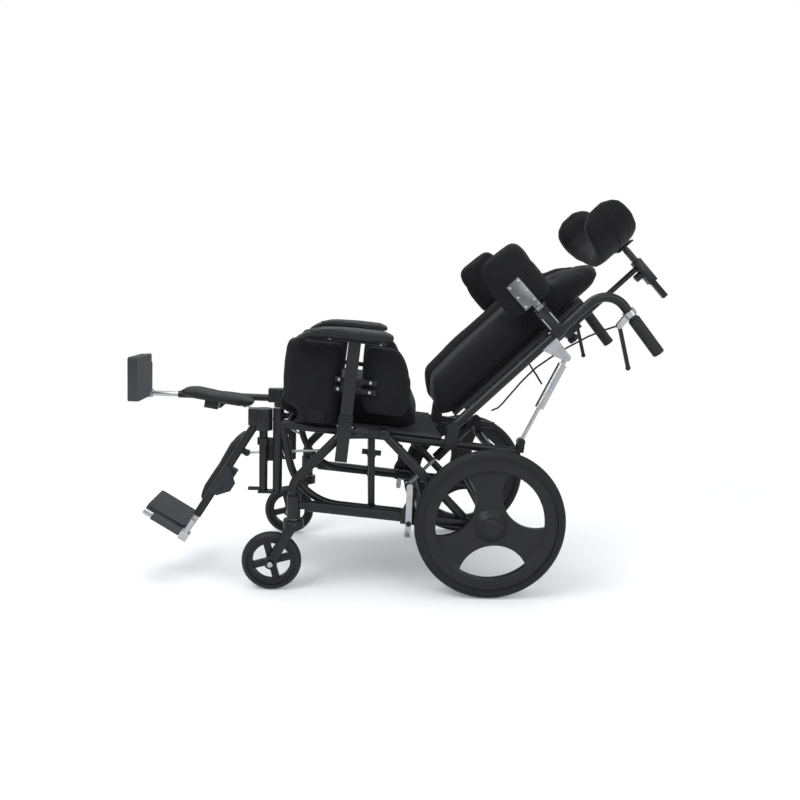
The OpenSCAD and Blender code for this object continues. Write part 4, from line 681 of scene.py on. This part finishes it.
class WheelchairColours(bpy.types.PropertyGroup):
    paint: bpy.props.FloatVectorProperty(
        name="Frame", description="Frame paint", subtype="COLOR", default=(0.009, 0.009, 0.0102)
    )
    zinc: bpy.props.FloatVectorProperty(
        name="Hardware", description="Plated hardware", subtype="COLOR", default=(0.42, 0.42, 0.43)
    )
    cloth: bpy.props.FloatVectorProperty(
        name="Covers",
        description="Knitted covers",
        subtype="COLOR",
        default=(0.0042, 0.0042, 0.0048),
    )
    vinyl: bpy.props.FloatVectorProperty(
        name="Vinyl",
        description="Arm and calf pads",
        subtype="COLOR",
        default=(0.007, 0.007, 0.008),
    )
    rubber: bpy.props.FloatVectorProperty(
        name="Rubber",
        description="Tyres and grips",
        subtype="COLOR",
        default=(0.0075, 0.0075, 0.0078),
    )
    plastic: bpy.props.FloatVectorProperty(
        name="Wheels", description="Moulded wheels", subtype="COLOR", default=(0.007, 0.007, 0.0077)
    )
    slate: bpy.props.FloatVectorProperty(
        name="Footplates", description="Footplates", subtype="COLOR", default=(0.0125, 0.013, 0.016)
    )


class WheelchairStage(bpy.types.PropertyGroup):
    camera_place: bpy.props.FloatVectorProperty(
        name="Camera",
        description="Place of the camera",
        default=(2.140, -0.097, 0.789),
        unit="LENGTH",
    )
    yaw: bpy.props.FloatProperty(
        name="Yaw", description="Turn of the camera", default=math.radians(2.96), subtype="ANGLE"
    )
    pitch: bpy.props.FloatProperty(
        name="Pitch", description="Look down", default=math.radians(8.11), subtype="ANGLE"
    )
    roll: bpy.props.FloatProperty(
        name="Roll", description="Roll of the camera", default=math.radians(1.82), subtype="ANGLE"
    )
    lens: bpy.props.FloatProperty(
        name="Lens", description="Focal length in millimetres", default=33.35, min=10
    )
    floor: bpy.props.FloatVectorProperty(
        name="Floor", description="Floor colour", subtype="COLOR", default=(0.82, 0.82, 0.82)
    )


finishes = {}


def finish_of(name):
    if not finishes:
        colours = bpy.context.scene.wheelchair_colours
        finishes.update(
            frame_paint=hammered_paint(tuple(colours.paint)),
            zinc=zinc_plate(tuple(colours.zinc)),
            dull_steel=zinc_plate(shade(colours.zinc, 0.4), "dull_steel"),
            knit_fabric=knit_cover(tuple(colours.cloth)),
            vinyl=grained_vinyl(tuple(colours.vinyl)),
            rubber=solid_rubber(tuple(colours.rubber)),
            grip_rubber=ribbed_rubber(tuple(colours.rubber)),
            tyre=tyre_tread(tuple(colours.rubber)),
            wheel_plastic=moulded_plastic(tuple(colours.plastic)),
            slate_plastic=moulded_plastic(tuple(colours.slate), "slate_plastic"),
            webbing=webbing(tuple(colours.cloth)),
        )
    return finishes[name]


def pad_pieces(node, body, slot, voxel, cap, edges):
    """Dresses the stuffed solids of a CAD node, and hands back the pieces and its hard solids."""
    covers = bpy.context.scene.wheelchair_covers
    soft, hard = soft_parts(node)
    made = []
    for number, part in enumerate(soft):
        name = f"{node}_cover" + (f"_{number + 1}" if len(soft) > 1 else "")
        piece = new_piece(name, part, finish_of(slot), 180)
        middle = sum((Vector(c) for c in piece.bound_box), Vector()) / 8
        swell(piece, voxel, cap * 0.7, cap)
        ripple(piece, 0.05, 0.0012, number + len(node))
        for share, normal, depth in edges:
            span = [v.co.dot(normal) for v in piece.data.vertices]
            at = min(span) + share * (max(span) - min(span))
            place = middle + (at - middle.dot(normal)) * normal
            sew(piece, place, normal, depth, PIPED_SEAM_WIDTH)
            cord = piping(
                f"{name}_piping_{len(made)}",
                piece,
                place,
                normal,
                covers.piping_radius,
                finish_of("webbing" if slot == "knit_fabric" else slot),
            )
            made.append(fasten(cord, body, slot))
        fasten(piece, body, slot, node)
        made.append(piece)
    return made, hard


def hard_piece(name, parts, body, slot, node, material=None, bevel=0.0006, corners=None):
    """Hard solids of a CAD node as one piece with softened edges.

    Corners, where given, are the axis that they stand along and their radius.
    """
    bm = bmesh.new()
    for part in parts:
        mesh = bpy.data.meshes.new("part")
        part.to_mesh(mesh)
        bm.from_mesh(mesh)
        bpy.data.meshes.remove(mesh)
        part.free()
    bmesh.ops.dissolve_limit(
        bm, angle_limit=math.radians(1), verts=bm.verts, edges=bm.edges, delimit={"NORMAL"}
    )
    if corners:
        axis, radius = corners
        upright = [
            e
            for e in bm.edges
            if abs((e.verts[1].co - e.verts[0].co).normalized().dot(axis)) > 0.999
            and e.calc_face_angle(0) > math.radians(80)
        ]
        tallest = max(e.calc_length() for e in upright)
        bevel_edges(bm, [e for e in upright if e.calc_length() > 0.97 * tallest], radius, 5)
    sharp = [e for e in bm.edges if e.is_convex and e.calc_face_angle(0) > math.radians(50)]
    bevel_edges(bm, sharp, bevel, 2)
    return fasten(new_piece(name, bm, material or finish_of(slot), 35), body, slot, node)


class WHEELCHAIR_OT_frame(bpy.types.Operator):
    """Gives every carried-over node of the frame its finish"""

    bl_idname = "wheelchair.frame"
    bl_label = "Frame finishes"

    def execute(self, context):
        slots = {s["node"]: s["material_slot"] for s in frame["record"]["subparts"]}
        special = {
            "hand_grips": "grip_rubber",
            "rear_tyre_left": "tyre",
            "rear_tyre_right": "tyre",
            "hand_lever_left": "frame_paint",
            "hand_lever_right": "frame_paint",
            "recline_spring_cylinder": "zinc",
        }
        for name, node in frame["nodes"].items():
            node.data.materials.clear()
            node.data.materials.append(finish_of(special.get(name, slots[name])))
            node.data.shade_smooth()
            node.data.set_sharp_from_angle(angle=math.radians(32))
        return {"FINISHED"}


class WHEELCHAIR_OT_seat_cushion(bpy.types.Operator):
    """Stuffed seat cushion with two sewn channels and piped edges"""

    bl_idname = "wheelchair.seat_cushion"
    bl_label = "Seat cushion"

    def execute(self, context):
        covers = context.scene.wheelchair_covers
        made, _ = pad_pieces(
            "seat_cushion",
            "seat",
            "knit_fabric",
            covers.voxel * 1.2,
            covers.seat_cap,
            [(0.2, RAIL_UP, 0.002)],
        )
        piece = made[-1]
        for back in SEAT_CHANNELS:
            place = on_rail(0, back, 0)
            sew(piece, place, RAIL_BACK, covers.seam_depth, SEAT_SEAM_WIDTH, RAIL_UP)
        return {"FINISHED"}


class WHEELCHAIR_OT_back_cushion(bpy.types.Operator):
    """Stuffed back cushion with bolsters, sewn along its dip"""

    bl_idname = "wheelchair.back_cushion"
    bl_label = "Back cushion"

    def execute(self, context):
        covers = context.scene.wheelchair_covers
        made, _ = pad_pieces(
            "back_cushion",
            "back",
            "knit_fabric",
            covers.voxel * 1.3,
            covers.back_cap,
            [(0.16, BACK_FRONT, 0.002)],
        )
        piece = made[-1]
        for side in (-1, 1):
            place = side * BOLSTER_SEAM * ACROSS
            sew(piece, place, ACROSS, covers.seam_depth, BOLSTER_SEAM_WIDTH, BACK_FRONT)
        return {"FINISHED"}


class WHEELCHAIR_OT_headrest(bpy.types.Operator):
    """Wrapped headrest pad with its hinge bracket"""

    bl_idname = "wheelchair.headrest"
    bl_label = "Headrest"

    def execute(self, context):
        covers = context.scene.wheelchair_covers
        _, hard = pad_pieces(
            "headrest_pad",
            "headrest_pad",
            "knit_fabric",
            covers.voxel,
            covers.pad_cap,
            [(0.5, BACK_UP, 0.0015)],
        )
        hard_piece("headrest_bracket", hard, "headrest_pad", "frame_paint", "headrest_pad")
        return {"FINISHED"}


class WHEELCHAIR_OT_trunk_pads(bpy.types.Operator):
    """Stuffed trunk supports on their riveted plates"""

    bl_idname = "wheelchair.trunk_pads"
    bl_label = "Trunk supports"

    def execute(self, context):
        covers = context.scene.wheelchair_covers
        for side, sign in zip(SIDES, (1, -1)):
            node, body = f"lateral_pad_{side}", f"trunk_pad_{side}"
            _, hard = pad_pieces(
                node,
                body,
                "knit_fabric",
                covers.voxel,
                covers.pad_cap,
                [(0.5, ACROSS, 0.0015)],
            )
            hard_piece(f"trunk_plate_{side}", hard, body, "zinc", node, finish_of("dull_steel"))
            face, out = sign * TRUNK_PLATE_FACE, sign * ACROSS
            rivets = [
                dome("rivet", on_back(face, up, front), out, 0.0036, 0.0018, finish_of("zinc"))
                for up in RIVET_HEIGHTS
                for front in RIVET_DEPTHS
            ]
            fasten(joined(f"trunk_rivets_{side}", rivets), body, "zinc")
        return {"FINISHED"}


class WHEELCHAIR_OT_side_pads(bpy.types.Operator):
    """Thigh and hip pads of the armrests with their strap patches"""

    bl_idname = "wheelchair.side_pads"
    bl_label = "Side pads"

    def execute(self, context):
        covers = context.scene.wheelchair_covers
        for side in SIDES:
            node, body = f"side_pads_{side}", f"armrest_{side}"
            _, hard = pad_pieces(
                node,
                body,
                "knit_fabric",
                covers.voxel,
                covers.pad_cap,
                [(0.5, ACROSS, 0.0015)],
            )
            strap = finish_of("webbing")
            hard_piece(f"strap_patch_{side}", hard, body, "knit_fabric", node, strap, 0.0004)
        return {"FINISHED"}


class WHEELCHAIR_OT_arm_pads(bpy.types.Operator):
    """Vinyl armrest pads"""

    bl_idname = "wheelchair.arm_pads"
    bl_label = "Armrest pads"

    def execute(self, context):
        covers = context.scene.wheelchair_covers
        for side in SIDES:
            node, body = f"armrest_pad_{side}", f"armrest_{side}"
            voxel, cap = covers.voxel * VINYL_VOXEL, covers.pad_cap * VINYL_SWELL
            pad_pieces(node, body, "vinyl", voxel, cap, [(0.62, RAIL_UP, 0.0008)])
        return {"FINISHED"}


class WHEELCHAIR_OT_calf_pads(bpy.types.Operator):
    """Vinyl calf pads with their bolts and sectors"""

    bl_idname = "wheelchair.calf_pads"
    bl_label = "Calf pads"

    def execute(self, context):
        covers = context.scene.wheelchair_covers
        for side in SIDES:
            pad = f"calf_pad_{side}"
            voxel, cap = covers.voxel * VINYL_VOXEL, covers.pad_cap * VINYL_SWELL
            _, hard = pad_pieces(pad, pad, "vinyl", voxel, cap, [])
            hard_piece(f"calf_sector_{side}", hard, pad, "slate_plastic", pad)
        return {"FINISHED"}


def taut_sheet(name, node, up, along, sag, body):
    """A sheet stretched between tubes: the node's form cut to a fine grid and dipped a little."""
    bm = bmesh.new()
    bm.from_mesh(frame["nodes"][node].data)
    bmesh.ops.remove_doubles(bm, verts=bm.verts, dist=0.00001)
    bmesh.ops.dissolve_limit(bm, angle_limit=math.radians(1), verts=bm.verts, edges=bm.edges)
    for axis in (ACROSS, along):
        reach = [v.co.dot(axis) for v in bm.verts]
        at = min(reach) + SHEET_STEP
        while at < max(reach):
            geometry = bm.verts[:] + bm.edges[:] + bm.faces[:]
            bmesh.ops.bisect_plane(bm, geom=geometry, plane_co=axis * at, plane_no=axis)
            at += SHEET_STEP
    span = max(v.co.x for v in bm.verts) - SHEET_HEM
    for vert in bm.verts:
        x = min(1, abs(vert.co.x) / span)
        vert.co -= up * sag * (math.cos(x * math.pi) + 1) / 2
    bmesh.ops.recalc_face_normals(bm, faces=bm.faces)
    piece = new_piece(name, bm, finish_of("knit_fabric"), 50)
    fasten(piece, body, "knit_fabric", node)


class WHEELCHAIR_OT_slings(bpy.types.Operator):
    """Seat sling and back panel, stretched between the rails and canes"""

    bl_idname = "wheelchair.slings"
    bl_label = "Sling and back panel"

    def execute(self, context):
        taut_sheet(
            "seat_sling_cloth",
            "seat_sling",
            RAIL_UP,
            RAIL_BACK,
            0.002,
            "seat",
        )
        taut_sheet(
            "back_panel_cloth",
            "back_panel",
            -BACK_FRONT,
            BACK_UP,
            -0.0015,
            "back",
        )
        return {"FINISHED"}


# Hard nodes whose plain edges are rounded, with the width of the rounding
ROUNDED = {
    "footplate_left": 0.0018,
    "footplate_right": 0.0018,
    "armrest_frame_left": 0.0009,
    "armrest_frame_right": 0.0009,
    "armrest_sockets": 0.0012,
    "lateral_arm_left": 0.001,
    "lateral_arm_right": 0.001,
    "headrest_bar": 0.0012,
    "headrest_stem": 0.001,
    "back_cross_bars": 0.0012,
    "castor_fork_left": 0.0014,
    "castor_fork_right": 0.0014,
    "wheel_lock_plates": 0.0008,
    "leg_hanger_left": 0.0012,
    "leg_hanger_right": 0.0012,
}
FOOTPLATE_CORNER = 0.012


class WHEELCHAIR_OT_rounded(bpy.types.Operator):
    """Brackets, forks and footplates with rounded edges and corners"""

    bl_idname = "wheelchair.rounded"
    bl_label = "Rounded brackets"

    def execute(self, context):
        record = frame["record"]
        slots = {s["node"]: s["material_slot"] for s in record["subparts"]}
        body_of = {n: body for body, nodes in record["behaviour"]["bodies"].items() for n in nodes}
        for name, width in ROUNDED.items():
            corners = None
            if name.startswith("footplate"):
                along = JOINTS[f"footrest_{name.split('_')[1]}_length"]["axis"]
                corners = (Vector(along), FOOTPLATE_CORNER)
            hard_piece(
                f"{name}_rounded",
                loose_parts(frame["nodes"][name].data),
                body_of[name],
                slots[name],
                name,
                bevel=width,
                corners=corners,
            )
        return {"FINISHED"}


def reach_at(node, place, radius):
    """How far out along X the node reaches near an axis through a place."""
    near = [
        abs(v.co.x)
        for v in frame["nodes"][node].data.vertices
        if math.hypot(v.co.y - place.y, v.co.z - place.z) < radius
    ]
    return max(near)


def axle_caps(side, sign):
    """Hub cap, nuts of the castor axle and cap of the tilt bolt on one side."""
    zinc, out = finish_of("zinc"), sign * ACROSS
    hub = Vector(JOINTS[f"rear_wheel_{side}_spin"]["pos_m"])
    hub.x = sign * (max(abs(c[0]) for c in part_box(f"rear_wheel_{side}")) - SEATED)
    cap = dome(f"hub_cap_{side}", hub, out, 0.0225, 0.0085, finish_of("wheel_plastic"), 48)
    fasten(cap, f"rear_wheel_{side}", "wheel_plastic")

    axle = Vector(JOINTS[f"castor_{side}_spin"]["pos_m"])
    ends = [corner[0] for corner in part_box(f"castor_fork_{side}")]
    nuts = []
    for x, facing in zip(ends, (-1, 1)):
        place = Vector((x - facing * SEATED, axle.y, axle.z))
        nuts.append(dome("nut", place, facing * ACROSS, 0.0075, 0.0042, zinc))
    fasten(joined(f"castor_caps_{side}", nuts), f"castor_fork_{side}", "zinc")

    tilt = PIVOT.copy()
    tilt.x = sign * (reach_at("base_hardware", PIVOT, 0.02) - SEATED)
    cap = dome(f"tilt_cap_{side}", tilt, out, 0.0125, 0.004, finish_of("frame_paint"), 36)
    fasten(cap, "base", "frame_paint")


def armrest_fittings(side, sign):
    """Bolts of one armrest and the knob of its socket."""
    zinc, out = finish_of("zinc"), sign * ACROSS
    bolts = [
        dome("bolt", on_rail(sign * PAD_BOLT_FACE, back, up), out, 0.0042, 0.0026, zinc)
        for back in PAD_BOLTS_BACK
        for up in PAD_BOLTS_UP
    ]
    for back in ARM_BOLTS_BACK:
        place = on_rail(sign * ARM_BOLT_FACE, back, ARM_BOLTS_UP)
        bolts.append(dome("bolt", place, out, 0.0026, 0.0016, zinc))
    fasten(joined(f"armrest_bolts_{side}", bolts), f"armrest_{side}", "zinc")

    x, back, up = ARM_KNOB
    name, place = f"armrest_knob_{side}", on_rail(sign * x, back, up)
    knob = lobed_knob(name, place, RAIL_BACK, 0.0118, 0.016, 5, finish_of("wheel_plastic"))
    fasten(knob, "seat", "frame_paint")


def bracket_edges(side, sign):
    """Bright folded edges where one trunk support is clamped to its cane."""
    bars = []
    for up in BRACKET_EDGES:
        bm = bmesh.new()
        bmesh.ops.create_cube(bm, size=1)
        bmesh.ops.scale(bm, vec=(0.003, 0.003, 0.038), verts=bm.verts)
        bevel_edges(bm, bm.edges[:], 0.0012, 3)
        place = on_back(sign * BRACKET_FACE, up, BRACKET_DEPTH)
        bars.append(new_piece("bar", placed(bm, place, BACK_FRONT), finish_of("zinc")))
    fasten(joined(f"bracket_edges_{side}", bars), "back", "zinc")


class WHEELCHAIR_OT_fittings(bpy.types.Operator):
    """Hub caps, axle nuts, bolts, clamp knobs and the edges of the trunk brackets"""

    bl_idname = "wheelchair.fittings"
    bl_label = "Fittings"

    def execute(self, context):
        for side, sign in zip(SIDES, (1, -1)):
            axle_caps(side, sign)
            armrest_fittings(side, sign)
            bracket_edges(side, sign)
        place, plastic = on_back(*HEADREST_KNOB), finish_of("wheel_plastic")
        knob = lobed_knob("headrest_knob", place, -BACK_FRONT, 0.0165, 0.015, 6, plastic)
        fasten(knob, "back", "frame_paint")
        return {"FINISHED"}


def camera_axes(yaw, pitch, roll):
    """Right, up and forward of a camera that looks along -X, turned, tipped and rolled."""
    forward = Vector(
        (-math.cos(yaw) * math.cos(pitch), math.sin(yaw) * math.cos(pitch), -math.sin(pitch))
    )
    level = Vector((math.sin(yaw), math.cos(yaw), 0))
    upright = level.cross(forward)
    right = math.cos(roll) * level + math.sin(roll) * upright
    up = math.cos(roll) * upright - math.sin(roll) * level
    return right, up, forward


def place_camera(stage):
    data = bpy.data.cameras.new("camera")
    data.lens = stage.lens
    data.sensor_width = 36
    data.clip_end = 60
    camera = bpy.data.objects.new("camera", data)
    right, up, forward = camera_axes(stage.yaw, stage.pitch, stage.roll)
    turn = Matrix((right, up, -forward)).transposed().to_4x4()
    camera.matrix_world = Matrix.Translation(stage.camera_place) @ turn
    bpy.context.collection.objects.link(camera)
    bpy.context.scene.camera = camera


def pale_floor(tone):
    """Matte floor that fades to white away from the wheelchair, where the camera sees it."""
    f = Finish("pale_floor", Roughness=0.7, Specular_IOR_Level=0.1)
    f.feed(Base_Color=f.mix(f.noise(3, 2), shade(tone, 0.99), shade(tone, 1.01)))
    seen = f.node("LightPath", {}, "Is Camera Ray", {})
    centre = f.node("VectorMath", {"operation": "LENGTH"}, 1, {0: f.place})
    distance = f.ramp(centre * 0.25, [(0.2, 0), (0.5, 1)])
    white = f.tree.nodes.new("ShaderNodeEmission")
    blend = f.tree.nodes.new("ShaderNodeMixShader")
    links = f.tree.links
    links.new((seen * (0.12 + distance * 0.88)).socket, blend.inputs[0])
    links.new(f.surface.outputs[0], blend.inputs[1])
    links.new(white.outputs[0], blend.inputs[2])
    links.new(blend.outputs[0], f.output.inputs[0])
    return f.material


def lay_floor(tone):
    bm = bmesh.new()
    bmesh.ops.create_circle(bm, cap_ends=True, segments=64, radius=FLOOR_RADIUS)
    new_piece("floor", bm, pale_floor(tone))


def white_world():
    """White to the camera, and a soft cool light on the wheelchair."""
    world = bpy.data.worlds.new("studio")
    world.use_nodes = True
    bpy.context.scene.world = world
    nodes, links = world.node_tree.nodes, world.node_tree.links
    nodes.clear()
    path = nodes.new("ShaderNodeLightPath")
    soft = nodes.new("ShaderNodeBackground")
    soft.inputs[0].default_value = (0.9, 0.93, 1, 1)
    soft.inputs[1].default_value = 0.75
    plain = nodes.new("ShaderNodeBackground")
    plain.inputs[0].default_value = (1, 1, 1, 1)
    mixed = nodes.new("ShaderNodeMixShader")
    out = nodes.new("ShaderNodeOutputWorld")
    links.new(path.outputs["Is Camera Ray"], mixed.inputs[0])
    links.new(soft.outputs[0], mixed.inputs[1])
    links.new(plain.outputs[0], mixed.inputs[2])
    links.new(mixed.outputs[0], out.inputs[0])


def hang_lamp(name, place, size, power):
    lamp = bpy.data.lights.new(name, "AREA")
    lamp.size = size
    lamp.energy = power
    holder = bpy.data.objects.new(name, lamp)
    turn = (LAMP_TARGET - Vector(place)).to_track_quat("-Z", "Y").to_matrix().to_4x4()
    holder.matrix_world = Matrix.Translation(place) @ turn
    bpy.context.collection.objects.link(holder)


class WHEELCHAIR_OT_stage(bpy.types.Operator):
    """Pale floor, soft lamps and the camera at the photograph's angle"""

    bl_idname = "wheelchair.stage"
    bl_label = "Stage"

    def execute(self, context):
        stage = context.scene.wheelchair_stage
        place_camera(stage)
        lay_floor(tuple(stage.floor))
        white_world()
        for lamp in LAMPS:
            hang_lamp(*lamp)
        context.scene.view_settings.view_transform = "Standard"
        return {"FINISHED"}


class WHEELCHAIR_PT_panel(bpy.types.Panel):
    """Lists the wheelchair's pieces"""

    bl_idname = "WHEELCHAIR_PT_panel"
    bl_label = "Wheelchair"
    bl_space_type = "VIEW_3D"
    bl_region_type = "UI"
    bl_category = "Wheelchair"

    def draw(self, context):
        layout = self.layout
        for group in ("wheelchair_covers", "wheelchair_colours", "wheelchair_stage"):
            settings = getattr(context.scene, group)
            box = layout.box()
            for key in settings.__annotations__:
                box.prop(settings, key)
        for operator in PIECES:
            layout.operator(operator.bl_idname)


PIECES = (
    WHEELCHAIR_OT_frame,
    WHEELCHAIR_OT_seat_cushion,
    WHEELCHAIR_OT_back_cushion,
    WHEELCHAIR_OT_headrest,
    WHEELCHAIR_OT_trunk_pads,
    WHEELCHAIR_OT_side_pads,
    WHEELCHAIR_OT_arm_pads,
    WHEELCHAIR_OT_calf_pads,
    WHEELCHAIR_OT_slings,
    WHEELCHAIR_OT_rounded,
    WHEELCHAIR_OT_fittings,
    WHEELCHAIR_OT_stage,
)
GROUPS = (
    ("wheelchair_covers", WheelchairCovers),
    ("wheelchair_colours", WheelchairColours),
    ("wheelchair_stage", WheelchairStage),
)


def register():
    for name, group in GROUPS:
        bpy.utils.register_class(group)
        setattr(bpy.types.Scene, name, bpy.props.PointerProperty(type=group))
    for piece in (*PIECES, WHEELCHAIR_PT_panel):
        bpy.utils.register_class(piece)


def unregister():
    for piece in reversed((*PIECES, WHEELCHAIR_PT_panel)):
        bpy.utils.unregister_class(piece)
    for name, group in reversed(GROUPS):
        delattr(bpy.types.Scene, name)
        bpy.utils.unregister_class(group)


def main():
    register()
    bpy.ops.wheelchair.frame()
    bpy.ops.wheelchair.seat_cushion()
    bpy.ops.wheelchair.back_cushion()
    bpy.ops.wheelchair.headrest()
    bpy.ops.wheelchair.trunk_pads()
    bpy.ops.wheelchair.side_pads()
    bpy.ops.wheelchair.arm_pads()
    bpy.ops.wheelchair.calf_pads()
    bpy.ops.wheelchair.slings()
    bpy.ops.wheelchair.rounded()
    bpy.ops.wheelchair.fittings()
    bpy.ops.wheelchair.stage()


if __name__ == "__main__":
    main()
